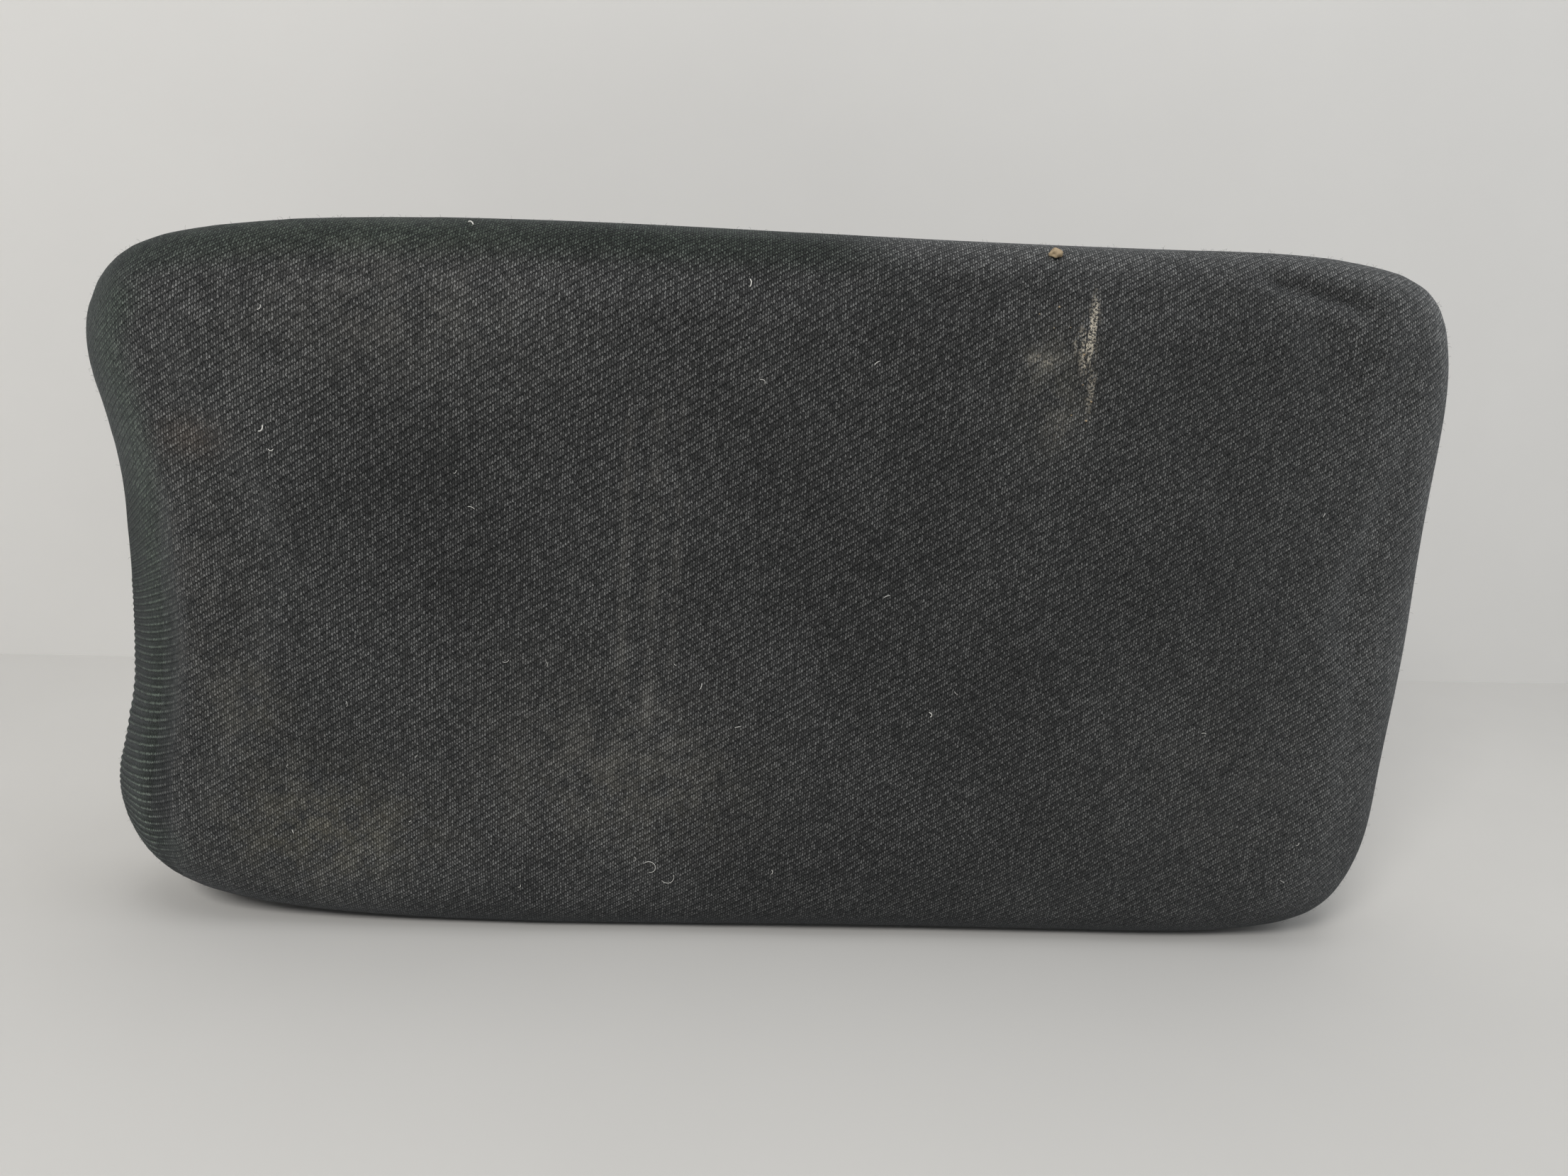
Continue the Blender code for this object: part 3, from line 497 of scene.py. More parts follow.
POWDER = (  # bright specks below the crumb, with the same kind of values
    ((0.0985, 0.2360), (0.0012, 0.0130), 0.75),
    ((0.0955, 0.2290), (0.0018, 0.0100), 0.90),
    ((0.0925, 0.2290), (0.0010, 0.0050), 0.50),
    ((0.0810, 0.2225), (0.0070, 0.0026), 0.40),
    ((0.0995, 0.2130), (0.0024, 0.0100), 0.38),
    ((0.0895, 0.2000), (0.0060, 0.0110), 0.16),
)
TONE_AND_PAINTED_LIGHT = (  # lighter and darker stretches of the worn cloth: uneven tone, darker over the middle, painted shade along the bottom and a painted highlight down the convex end
    ((-0.200, 0.190), (0.045, 0.065), 0.26),
    ((-0.100, 0.225), (0.060, 0.022), 0.14),
    ((-0.120, 0.165), (0.050, 0.040), -0.14),
    ((-0.150, 0.040), (0.060, 0.035), 0.26),
    ((-0.050, 0.070), (0.035, 0.060), 0.20),
    ((0.225, 0.150), (0.030, 0.140), 0.30),
    ((0.110, 0.120), (0.080, 0.060), -0.16),
    ((0.020, 0.170), (0.045, 0.060), -0.12),
    ((-0.185, 0.100), (0.030, 0.045), -0.10),
    ((0.060, 0.030), (0.120, 0.030), -0.14),
)


def blotches(points, marks):
    total = np.zeros(len(points))
    for (x, z), (half_x, half_z), strength in marks:
        away = ((points[:, 0] - x) / half_x) ** 2 + ((points[:, 2] - z) / half_z) ** 2
        total += strength * np.exp(-away * 1.2)
    return total


def mark_cloth(pad):
    """Stores what the twill material reads: places on the cloth, where it is worn or dusty, and painted
    light: shade on the rims and in the dent, highlights on the lit edges and the dent's swell, and a
    greenish reflection tint.
    """
    points = coordinates(pad.data)
    _, normal, inset, depth = around(points)
    u, v, standing = cloth_coordinates(points)
    weave = pad.data.attributes.new("weave", "FLOAT_VECTOR", "POINT")
    weave.data.foreach_set("vector", np.stack([u, v, standing], axis=1).astype(np.float32).ravel())
    front = 1 - smoothstep(depth, 0.012, 0.030)
    pale = blotches(points, PALE_DUST)
    tall = smoothstep(points[:, 2], 0.060, 0.100) * (1 - smoothstep(points[:, 2], 0.180, 0.220))
    for x, width, amount in FAINT_STREAKS:
        pale += amount * bump_of(points[:, 0], x, width) * tall
    away_from_right = 1 - smoothstep(normal[:, 0], 0.35, 0.85)
    turned = 1 - smoothstep(inset, 0.004, 0.017)
    lit_top = smoothstep(points[:, 0], 0.000, 0.040) * smoothstep(normal[:, 1], 0.3, 0.8)
    lit_end = smoothstep(normal[:, 0], 0.35, 0.85) * smoothstep(points[:, 2], 0.040, 0.140)
    # Painted shade: the rounded rims of the top, bottom and concave end, but not those of the convex end
    # and the top right, are darkened in the material.
    rim = away_from_right * turned * (1 - lit_top)
    # Painted reflection: a greenish tint on the concave end's side band and on the shaded top-left rim.
    left_band = smoothstep(-normal[:, 0], 0.3, 0.8) * (1 - smoothstep(inset, 0.014, 0.026))
    top_left = smoothstep(-points[:, 0], -0.060, 0.020) * smoothstep(normal[:, 1], 0.6, 0.9) * rim
    painted_green_reflection = np.maximum(left_band, top_left)
    # Channels: pale dust, yellow dust and brown marks, then the painted greenish reflection tint.
    dust_and_reflection = np.stack([pale * front, blotches(points, YELLOW_DUST) * front,
                     blotches(points, BROWN_MARKS) * front, painted_green_reflection], axis=1)
    # Uneven tone of the cloth, with the painted shade and painted highlight from the table above.
    tone_and_painted_light = blotches(points, TONE_AND_PAINTED_LIGHT)
    # Painted shade in the dent's groove and a painted highlight on the swell below it.
    across, strength = beside_line(points, DENT)
    tone_and_painted_light -= 0.36 * bump_of(across, 0.0, 0.0034) * strength
    tone_and_painted_light += 0.34 * bump_of(across, -0.0062, 0.0040) * strength
    # Painted highlights on the rounding of the top right and of the convex end.
    tone_and_painted_light += turned * (0.30 * lit_top + 0.95 * lit_end)
    near_front = 1 - smoothstep(depth, 0.022, 0.045)
    # Channels: powder specks, the tone with its painted shade and highlights, and the painted rim shade.
    shade = np.stack([blotches(points, POWDER) * front, 1 + tone_and_painted_light * near_front, rim], axis=1)
    powder_tone_and_shade = pad.data.attributes.new("shade", "FLOAT_VECTOR", "POINT")
    powder_tone_and_shade.data.foreach_set("vector", shade.astype(np.float32).ravel())
    stored = pad.data.attributes.new("dust_and_reflection", "FLOAT_COLOR", "POINT")
    stored.data.foreach_set("color", np.clip(dust_and_reflection, 0, 1.5).astype(np.float32).ravel())


def open_back(pad):
    """Leaves the hem on the back, and gives the cloth its thickness."""
    bm = bmesh.new()
    bm.from_mesh(pad.data)
    middles = np.array([f.calc_center_median() for f in bm.faces])
    _, _, inset, depth = around(middles)
    gone = [f for f, i, d in zip(bm.faces, inset, depth) if i > HEM_WIDTH and d > PAD_DEPTH - 0.002]
    bmesh.ops.delete(bm, geom=gone, context="FACES")
    bm.to_mesh(pad.data)
    bm.free()
    thick = pad.modifiers.new("thickness", "SOLIDIFY")
    thick.thickness = FABRIC
    thick.offset = -1.0
    bake_modifiers(pad)
    pad.data.shade_smooth()


def make_pad():
    pad = starting_solid()
    remesh(pad)
    swell(pad)
    relax_and_subdivide(pad)
    seat_on_frame(pad)
    refine_ear(pad)
    shape_cloth(pad)
    mark_cloth(pad)
    open_back(pad)
    pad.data.materials.clear()
    pad.data.materials.append(twill_material())
    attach(pad, "panel")
    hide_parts("fabric_cover", "foam_pad")
    return pad


# ------------------------------------------------------------------ materials
class Graph:
    """Short calls for building one node material."""

    def __init__(self, name):
        self.material = bpy.data.materials.new(name)
        self.material.use_nodes = True
        self.tree = self.material.node_tree
        self.shader = self.tree.nodes["Principled BSDF"]

    def feed(self, socket, value):
        if isinstance(value, bpy.types.NodeSocket):
            self.tree.links.new(value, socket)
        elif isinstance(value, tuple) and len(value) == 3 and len(socket.default_value) == 4:
            socket.default_value = (*value, 1.0)
        else:
            socket.default_value = value

    def shade(self, **values):
        for name, value in values.items():
            self.feed(self.shader.inputs[name.replace("_", " ")], value)

    def math(self, operation, first, second=0.0, third=0.0):
        node = self.tree.nodes.new("ShaderNodeMath")
        node.operation = operation
        for socket, value in zip(node.inputs, (first, second, third)):
            self.feed(socket, value)
        return node.outputs[0]

    def plus(self, first, second):
        return self.math("ADD", first, second)

    def minus(self, first, second):
        return self.math("SUBTRACT", first, second)

    def times(self, first, second):
        return self.math("MULTIPLY", first, second)

    def over(self, first, second):
        return self.math("DIVIDE", first, second)

    def line(self, value, slope, start):
        return self.math("MULTIPLY_ADD", value, slope, start)

    def join(self, x, y, z=0.0):
        node = self.tree.nodes.new("ShaderNodeCombineXYZ")
        for socket, value in zip(node.inputs, (x, y, z)):
            self.feed(socket, value)
        return node.outputs[0]

    def split(self, vector):
        node = self.tree.nodes.new("ShaderNodeSeparateXYZ")
        self.feed(node.inputs[0], vector)
        return node.outputs

    def attribute(self, name):
        node = self.tree.nodes.new("ShaderNodeAttribute")
        node.attribute_name = name
        return node.outputs

    def place(self):
        return self.tree.nodes.new("ShaderNodeTexCoord").outputs["Object"]

    def stretched(self, vector, scale):
        node = self.tree.nodes.new("ShaderNodeVectorMath")
        node.operation = "MULTIPLY"
        self.feed(node.inputs[0], vector)
        node.inputs[1].default_value = scale
        return node.outputs[0]

    def noise(self, vector, scale, detail=2.0, rough=0.5, distortion=0.0):
        node = self.tree.nodes.new("ShaderNodeTexNoise")
        self.feed(node.inputs["Vector"], vector)
        node.inputs["Scale"].default_value = scale
        node.inputs["Detail"].default_value = detail
        node.inputs["Roughness"].default_value = rough
        node.inputs["Distortion"].default_value = distortion
        return node.outputs["Fac"]

    def random(self, x, y):
        node = self.tree.nodes.new("ShaderNodeTexWhiteNoise")
        node.noise_dimensions = "2D"
        self.feed(node.inputs["Vector"], self.join(x, y))
        return node.outputs["Value"]

    def between(self, value, low, high, bottom=0.0, top=1.0):
        node = self.tree.nodes.new("ShaderNodeMapRange")
        node.interpolation_type = "SMOOTHSTEP"
        for name, given in (("Value", value), ("From Min", low), ("From Max", high),
                            ("To Min", bottom), ("To Max", top)):
            self.feed(node.inputs[name], given)
        return node.outputs["Result"]

    def mix(self, amount, first, second, blend="MIX"):
        node = self.tree.nodes.new("ShaderNodeMix")
        node.data_type = "RGBA"
        node.blend_type = blend
        self.feed(node.inputs[0], amount)
        self.feed(node.inputs[6], first)
        self.feed(node.inputs[7], second)
        return node.outputs[2]

    def blend(self, amount, first, second):
        """Mixes two plain values."""
        node = self.tree.nodes.new("ShaderNodeMix")
        for place, value in ((0, amount), (2, first), (3, second)):
            self.feed(node.inputs[place], value)
        return node.outputs[0]

    def scaled(self, colour, amount):
        node = self.tree.nodes.new("ShaderNodeVectorMath")
        node.operation = "SCALE"
        self.feed(node.inputs[0], colour)
        self.feed(node.inputs["Scale"], amount)
        return node.outputs[0]

    def bump(self, height, distance, strength=1.0):
        node = self.tree.nodes.new("ShaderNodeBump")
        node.inputs["Strength"].default_value = strength
        node.inputs["Distance"].default_value = distance
        self.feed(node.inputs["Height"], height)
        self.feed(self.shader.inputs["Normal"], node.outputs[0])


def twill_material():
    """Coarse charcoal twill: columns of short floats in rising steps, worn, linty and dusty, with painted
    shade and highlights and a painted greenish reflection tint.
    """
    g = Graph("twill_fabric")
    weave = g.attribute("weave")["Vector"]
    u, v, standing = g.split(weave)
    wander = g.minus(g.noise(weave, 260.0, 3.0), 0.5)
    jitter = g.minus(g.noise(weave, 1400.0, 1.0), 0.5)
    columns = g.plus(g.over(u, COLUMN), g.times(wander, 0.9))
    columns = g.plus(columns, g.times(jitter, 0.35))
    index = g.math("FLOOR", columns)
    across = g.line(g.math("FRACT", columns), 2.0, -1.0)
    side = g.math("ABSOLUTE", across)
    arch = g.times(g.math("POWER", side, 1.3), 0.55)
    rows = g.minus(g.over(v, LOOP), g.times(index, COLUMN_STEP))
    rows = g.plus(g.plus(rows, arch), g.times(jitter, 0.9))
    rows = g.plus(rows, g.times(wander, 0.8))
    row = g.math("FLOOR", rows)
    along = g.math("SINE", g.times(g.math("FRACT", rows), math.pi))
    crest = g.minus(1.0, g.times(g.math("POWER", side, 2.2), 0.78))
    pair = g.math("ABSOLUTE", g.line(g.math("FRACT", g.times(rows, 0.5)), 2.0, -1.0))
    groove = g.between(pair, 0.62, 0.98, 1.0, 0.16)
    height = g.times(g.times(g.line(along, 0.55, 0.45), crest), groove)
    luck = g.random(index, row)
    fibre = g.noise(g.stretched(weave, (5200.0, 1500.0, 0.0)), 1.0, 2.0, 0.6)
    phase = g.over(g.minus(v, g.times(u, WALE_SLOPE)), WALE_PITCH)
    wave = g.math("COSINE", g.times(g.plus(phase, g.times(wander, 0.25)), math.tau))
    wale = g.between(wave, -0.2, 1.0)
    wale_share = g.line(standing, 0.60, 0.12)
    tone = g.times(height, g.line(luck, 0.60, 0.60))
    tone = g.times(tone, g.line(fibre, 1.5, 0.22))
    waled = g.times(tone, g.line(wale, 1.2, 0.35))
    tone = g.blend(wale_share, tone, waled)
    # The colour follows the floats' height: painted shade on their sides, in the grooves and between
    # standing wales, lighter crests, and a random tone for each float and its fibres.
    colour = g.mix(g.between(tone, 0.0, 0.70), (0.0070, 0.0074, 0.0074), (0.0500, 0.0510, 0.0508))
    colour = g.mix(g.between(tone, 0.55, 1.20), colour, (0.200, 0.202, 0.198))
    # Stored channels: powder specks, the tone with its painted shade and highlights, and the painted rim
    # shade, which darkens the colour by up to half below.
    powder, tone_and_painted_light, rim = g.split(g.attribute("shade")["Vector"])
    area = g.between(g.noise(weave, 16.0, 4.0, 0.6), 0.32, 0.70, 0.84, 1.08)
    tone_and_painted_light = g.times(g.times(tone_and_painted_light, area), g.line(rim, -0.50, 1.0))
    colour = g.scaled(colour, tone_and_painted_light)
    dust_and_reflection = g.attribute("dust_and_reflection")
    pale, yellow, brown = g.split(dust_and_reflection["Vector"])
    patchy = g.between(g.noise(weave, 90.0, 5.0, 0.7), 0.34, 0.66)
    on_floats = g.between(tone, 0.10, 0.80, 0.25, 1.0)
    dusty = g.times(g.times(pale, patchy), on_floats)
    colour = g.mix(g.times(dusty, 0.30), colour, (0.36, 0.345, 0.31))
    yellowed = g.times(g.times(yellow, patchy), on_floats)
    colour = g.mix(g.times(yellowed, 0.34), colour, (0.31, 0.285, 0.20))
    browned = g.times(brown, on_floats)
    colour = g.mix(g.times(browned, 0.20), colour, (0.20, 0.13, 0.085))
    # Painted greenish reflection tint on the concave end's side band and the top-left rim.
    colour = g.mix(dust_and_reflection["Alpha"], colour, g.mix(1.0, colour, (0.86, 1.05, 0.88), "MULTIPLY"))
    specks = g.between(g.noise(weave, 1100.0, 3.0, 0.65), 0.42, 0.56)
    clumps = g.between(g.noise(g.stretched(weave, (520.0, 110.0, 0.0)), 1.0, 3.0, 0.6), 0.38, 0.54)
    powdered = g.times(g.times(powder, clumps), specks)
    colour = g.mix(g.between(powdered, 0.04, 0.60, 0.0, 0.80), colour, (0.55, 0.50, 0.41))
    g.shade(Base_Color=colour, Roughness=0.95, Sheen_Weight=0.16, Sheen_Roughness=0.40,
            Sheen_Tint=(0.90, 0.95, 1.0), Specular_IOR_Level=0.15)
    relief = g.plus(g.times(height, 0.75), g.times(fibre, 0.30))
    g.bump(relief, 0.00042, 0.85)
    return g.material


def plastic_material():
    """Moulded black plastic with a fine spark-eroded grain and faint handling marks."""
    g = Graph("black_plastic")
    place = g.place()
    grain = g.noise(place, 2600.0, 2.0, 0.6)
    marks = g.noise(g.stretched(place, (30.0, 30.0, 260.0)), 1.0, 4.0, 0.7, 0.6)
    rubbed = g.between(marks, 0.55, 0.80)
    colour = g.mix(rubbed, (0.022, 0.0225, 0.0235), (0.032, 0.0325, 0.0335))
    dust = g.between(g.noise(place, 60.0, 6.0, 0.75), 0.50, 0.80)
    colour = g.mix(g.times(dust, 0.10), colour, (0.16, 0.157, 0.15))
    rough = g.plus(g.between(marks, 0.40, 0.75, 0.58, 0.40), g.times(grain, 0.08))
    g.shade(Base_Color=colour, Roughness=rough, Specular_IOR_Level=0.45)
    g.bump(grain, 0.00012, 0.55)
    return g.material


def powder_coat_material():
    """Dark grey powder coat: orange peel, fine sparkle and small scuffs."""
    g = Graph("coated_aluminium")
    place = g.place()
    peel = g.noise(place, 700.0, 3.0, 0.55)
    fleck = g.noise(place, 4200.0, 1.0, 0.5)
    scuff = g.between(g.noise(g.stretched(place, (60.0, 420.0, 90.0)), 1.0, 5.0, 0.75, 1.2), 0.62, 0.72)
    colour = g.mix(g.between(fleck, 0.52, 0.78), (0.105, 0.109, 0.115), (0.170, 0.174, 0.180))
    colour = g.mix(g.times(scuff, 0.35), colour, (0.27, 0.27, 0.27))
    g.shade(Base_Color=colour, Roughness=g.between(peel, 0.3, 0.7, 0.42, 0.58), Metallic=0.35)
    g.bump(peel, 0.00016, 0.6)
    return g.material


def steel_material():
    """Bright zinc-plated steel, with a slightly uneven yellow-blue bloom and turning marks."""
    g = Graph("zinc_steel")
    place = g.place()
    bloom = g.noise(place, 160.0, 4.0, 0.6, 0.8)
    lines = g.noise(g.stretched(place, (300.0, 300.0, 5200.0)), 1.0, 2.0, 0.6)
    colour = g.mix(g.between(bloom, 0.38, 0.66), (0.46, 0.47, 0.49), (0.60, 0.585, 0.53))
    grime = g.between(g.noise(place, 420.0, 5.0, 0.7), 0.58, 0.74)
    colour = g.mix(g.times(grime, 0.5), colour, (0.13, 0.12, 0.105))
    rough = g.plus(g.between(bloom, 0.3, 0.7, 0.24, 0.42), g.times(grime, 0.25))
    g.shade(Base_Color=colour, Roughness=rough, Metallic=1.0)
    g.bump(lines, 0.00005, 0.5)
    return g.material


def brass_material():
    """Turned brass with dull patches of tarnish."""
    g = Graph("brass")
    place = g.place()
    tarnish = g.between(g.noise(place, 260.0, 5.0, 0.65, 0.5), 0.42, 0.70)
    lines = g.noise(g.stretched(place, (200.0, 200.0, 6000.0)), 1.0, 2.0, 0.5)
    colour = g.mix(tarnish, (0.71, 0.50, 0.20), (0.34, 0.22, 0.09))
    g.shade(Base_Color=colour, Roughness=g.line(tarnish, 0.28, 0.24), Metallic=1.0)
    g.bump(lines, 0.00005, 0.5)
    return g.material


def rubber_material():
    """Matt black rubber with a fine moulded grain and caught dust."""
    g = Graph("black_rubber")
    place = g.place()
    grain = g.noise(place, 3200.0, 3.0, 0.7)
    dust = g.between(g.noise(place, 380.0, 6.0, 0.75), 0.52, 0.72)
    colour = g.mix(g.times(dust, 0.30), (0.016, 0.016, 0.0165), (0.15, 0.14, 0.125))
    g.shade(Base_Color=colour, Roughness=g.line(grain, 0.15, 0.74), Specular_IOR_Level=0.3)
    g.bump(grain, 0.00010, 0.6)
    return g.material


def plywood_material():
    """Birch plywood, its plies seen from the edge and long grain on its faces."""
    g = Graph("plywood")
    place = g.place()
    grain = g.noise(g.stretched(place, (14.0, 700.0, 260.0)), 1.0, 5.0, 0.65, 0.4)
    _, depth, _ = g.split(place)
    ply = g.math("PINGPONG", g.times(depth, 1000.0), 1.5)
    colour = g.mix(g.between(grain, 0.35, 0.68), (0.36, 0.235, 0.125), (0.58, 0.43, 0.27))
    colour = g.mix(g.between(ply, 1.1, 1.5, 0.0, 0.35), colour, (0.26, 0.16, 0.085))
    g.shade(Base_Color=colour, Roughness=0.62)
    g.bump(grain, 0.00010, 0.5)
    return g.material


def lint_material():
    g = Graph("lint")
    tone = g.noise(g.place(), 1800.0, 3.0, 0.6)
    g.shade(Base_Color=g.mix(tone, (0.42, 0.41, 0.38), (0.78, 0.77, 0.73)), Roughness=0.9, Sheen_Weight=0.5)
    return g.material


def crumb_material():
    g = Graph("crumb")
    tone = g.noise(g.place(), 900.0, 5.0, 0.65)
    g.shade(Base_Color=g.mix(tone, (0.20, 0.135, 0.075), (0.50, 0.40, 0.26)), Roughness=0.85)
    g.bump(tone, 0.0003, 0.8)
    return g.material


def fuzz_material():
    g = Graph("fuzz")
    tone = g.noise(g.place(), 700.0, 2.0)
    colour = g.mix(tone, (0.030, 0.032, 0.031), (0.085, 0.088, 0.085))
    g.shade(Base_Color=colour, Roughness=0.95, Sheen_Weight=0.4)
    return g.material


def paint(node_or_piece, material):
    """Gives an object this one material, whatever it had."""
    slots = node_or_piece.data.materials
    if len(slots) == 0:
        slots.append(material)
    for i in range(len(slots)):
        slots[i] = material


# ------------------------------------------------------------------ turned and lofted hardware
SIDES = 64


def rings_mesh(name, rings, closed_loop=False):
    """A body through rings of points. Its ends are capped, or joined to each other."""
    bm = bmesh.new()
    rows = [[bm.verts.new(point) for point in ring] for ring in rings]
    skin(bm, rows + rows[:1] if closed_loop else rows)
    if not closed_loop:
        bm.faces.new(rows[0])
        bm.faces.new(rows[-1])
    return mesh_from(bm, name)


def circle(radius_at, height, sides=SIDES):
    """A ring about Z, with its radius as a number or as a function of the angle."""
    ring = []
    for i in range(sides):
        angle = i * math.tau / sides
        radius = radius_at(angle) if callable(radius_at) else radius_at
        ring.append((radius * math.cos(angle), radius * math.sin(angle), height))
    return ring


def lathe(name, profile, sides=SIDES, closed_loop=False):
    return link(name, rings_mesh(name, [circle(r, z, sides) for r, z in profile], closed_loop))


def hexagon(across_flats):
    """The radius of a hexagon as a function of the angle."""
    def radius(angle):
        turned = (angle + math.pi / 6) % (math.pi / 3) - math.pi / 6
        return across_flats / 2 / math.cos(turned)
    return radius


def capped(radius_at, limit):
    return lambda angle: min(radius_at(angle), limit)


def fillet(radius, height, size, upward, steps=5):
    """Profile points round an outer edge, from the side wall to the flat end."""
    points = []
    for i in range(steps + 1):
        angle = i / steps * math.pi / 2
        drop = size * (1 - math.sin(angle))
        points.append((radius - size * (1 - math.cos(angle)), height + (-drop if upward else drop)))
    return points


def centre_of(node):
    low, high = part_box(node)
    return (low + high) / 2, low, high


def finish_piece(piece, material, body, slot, *nodes):
    paint(piece, material)
    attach(piece, body)
    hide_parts(*nodes)
    return piece


def cut(piece, cutter):
    step = piece.modifiers.new("cut", "BOOLEAN")
    step.operation = "DIFFERENCE"
    step.solver = "EXACT"
    step.object = cutter
    bake_modifiers(piece)
    bpy.data.objects.remove(cutter)
    piece.data.shade_smooth()
    piece.data.set_sharp_from_angle(angle=math.radians(35))


def face_back(piece, place):
    """Points a piece's local +Z at world +Y, with its origin at a place."""
    piece.matrix_world = Matrix.Translation(place) @ Matrix.Rotation(-math.pi / 2, 4, "X")


def make_bolt(node, material):
    """Button-head bolt with a hexagon socket."""
    middle, low, high = centre_of(node)
    radius = (high.x - low.x) / 2
    height = radius * 0.615
    shank = radius * 0.577
    profile = [(shank, height - (high.y - low.y)), (shank, 0.0), (radius * 0.985, 0.0)]
    profile += [(radius, radius * 0.03), (radius, height * 0.22)]
    for i in range(1, 8):
        angle = i / 8 * math.pi / 2
        profile.append((radius * (0.50 + 0.50 * math.cos(angle)), height * (0.22 + 0.78 * math.sin(angle))))
    profile.append((radius * 0.50, height))
    bolt = lathe(node + "_detail", profile)
    socket_depth = height * 0.6
    socket = hexagon(radius * 0.80)
    rim = [circle(capped(socket, 1.0), height - socket_depth + i * socket_depth * 2, 48) for i in (0, 1)]
    cut(bolt, link("socket", rings_mesh("socket", rim)))
    face_back(bolt, (middle.x, high.y - height, middle.z))
    return finish_piece(bolt, material, "panel", "zinc_steel", node)


def make_cover_screw(node, material):
    """Pan-head screw with a cross recess."""
    middle, low, high = centre_of(node)
    radius = (high.x - low.x) / 2
    height = radius * 0.61
    shank = radius * 0.444
    tail = height - (high.y - low.y)
    profile = [(shank * 0.08, tail), (shank, tail + shank * 1.3), (shank, 0.0), (radius * 0.97, 0.0)]
    profile += [(radius, height * 0.10), (radius, height * 0.42)]
    for i in range(1, 7):
        angle = i / 7 * math.pi / 2
        profile.append((radius * (0.60 + 0.40 * math.cos(angle)), height * (0.42 + 0.58 * math.sin(angle))))
    profile.append((radius * 0.55, height))
    screw = lathe(node + "_detail", profile)
    arm, half = radius * 0.58, radius * 0.13
    quarter = [(arm, -half), (arm, half), (half, half)]
    turns = ((1, 0), (0, 1), (-1, 0), (0, -1))
    outline = [(x * c - y * s, x * s + y * c) for c, s in turns for x, y in quarter]
    ends = [[(x, y, z) for x, y in outline] for z in (height * 0.45, height * 1.5)]
    cut(screw, link("cross", rings_mesh("cross", ends)))
    face_back(screw, (middle.x, high.y - height, middle.z))
    return finish_piece(screw, material, "panel", "zinc_steel", node)


def make_washer(node, material):
    middle, low, high = centre_of(node)
    radius, thickness = (high.x - low.x) / 2, high.y - low.y
    bore, edge = radius * 0.51, thickness * 0.22
    outer = fillet(radius, 0.0, edge, False)[::-1] + fillet(radius, thickness, edge, True)
    washer = lathe(node + "_detail", outer + [(bore, thickness), (bore, 0.0)], closed_loop=True)
    face_back(washer, (middle.x, low.y, middle.z))
    return finish_piece(washer, material, "panel", "zinc_steel", node)


THREAD_PITCH = 0.002
THREAD_DEPTH = 0.0009
THREAD_SIDES = 36
THREAD_PROFILE = ((0.0, 0.10), (1.0, 0.40), (1.0, 0.55), (0.0, 0.85))  # share of depth, share of pitch


def make_spindle(side, material):
    """The clamp screw, with a real helical thread and a plain swivel tip."""
    node = f"{side}_clamp_spindle"
    middle, low, high = centre_of(node)
    radius = (high.x - low.x) / 2
    tip_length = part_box(f"{side}_clamp_foot")[0].z
    top = tip_length - 0.0006
    turns = int((top - low.z) / THREAD_PITCH)
    bm = bmesh.new()
    columns = []
    for i in range(turns * THREAD_SIDES + 1):
        angle = i * math.tau / THREAD_SIDES
        base = low.z + THREAD_PITCH * i / THREAD_SIDES
        column = []
        for share, rise in THREAD_PROFILE:
            reach = radius - THREAD_DEPTH * (1 - share)
            height = min(max(base + THREAD_PITCH * (rise - 1), low.z), top)
            column.append(bm.verts.new((reach * math.cos(angle), reach * math.sin(angle), height)))
        columns.append(column)
    for i in range(len(columns) - 1):
        for k in range(len(THREAD_PROFILE) - 1):
            bm.faces.new((columns[i][k], columns[i + 1][k], columns[i + 1][k + 1], columns[i][k + 1]))
        if i + THREAD_SIDES + 1 < len(columns):
            upper, upper_next = columns[i + THREAD_SIDES], columns[i + THREAD_SIDES + 1]
            bm.faces.new((columns[i][-1], columns[i + 1][-1], upper_next[0], upper[0]))
    bmesh.ops.holes_fill(bm, edges=[e for e in bm.edges if e.is_boundary], sides=0)
    bmesh.ops.triangulate(bm, faces=[f for f in bm.faces if len(f.verts) > 4])
    tip_radius = radius * 0.75
    tip = [circle(tip_radius, z, THREAD_SIDES) for z in (top - 0.002, high.z)]
    rows = [[bm.verts.new(point) for point in ring] for ring in tip]
    skin(bm, rows)
    bm.faces.new(rows[0])
    bm.faces.new(rows[1])
    spindle = link(node + "_detail", mesh_from(bm, node + "_detail", 50))
    spindle.location = (middle.x, middle.y, 0.0)
    return finish_piece(spindle, material, f"{side}_screw", "zinc_steel", node)


KNOB_LOBES = 7
LOBE_DEPTH = 0.085  # half the depth of the hollows between lobes, as a share of the radius
KNOB_SIDES = 140


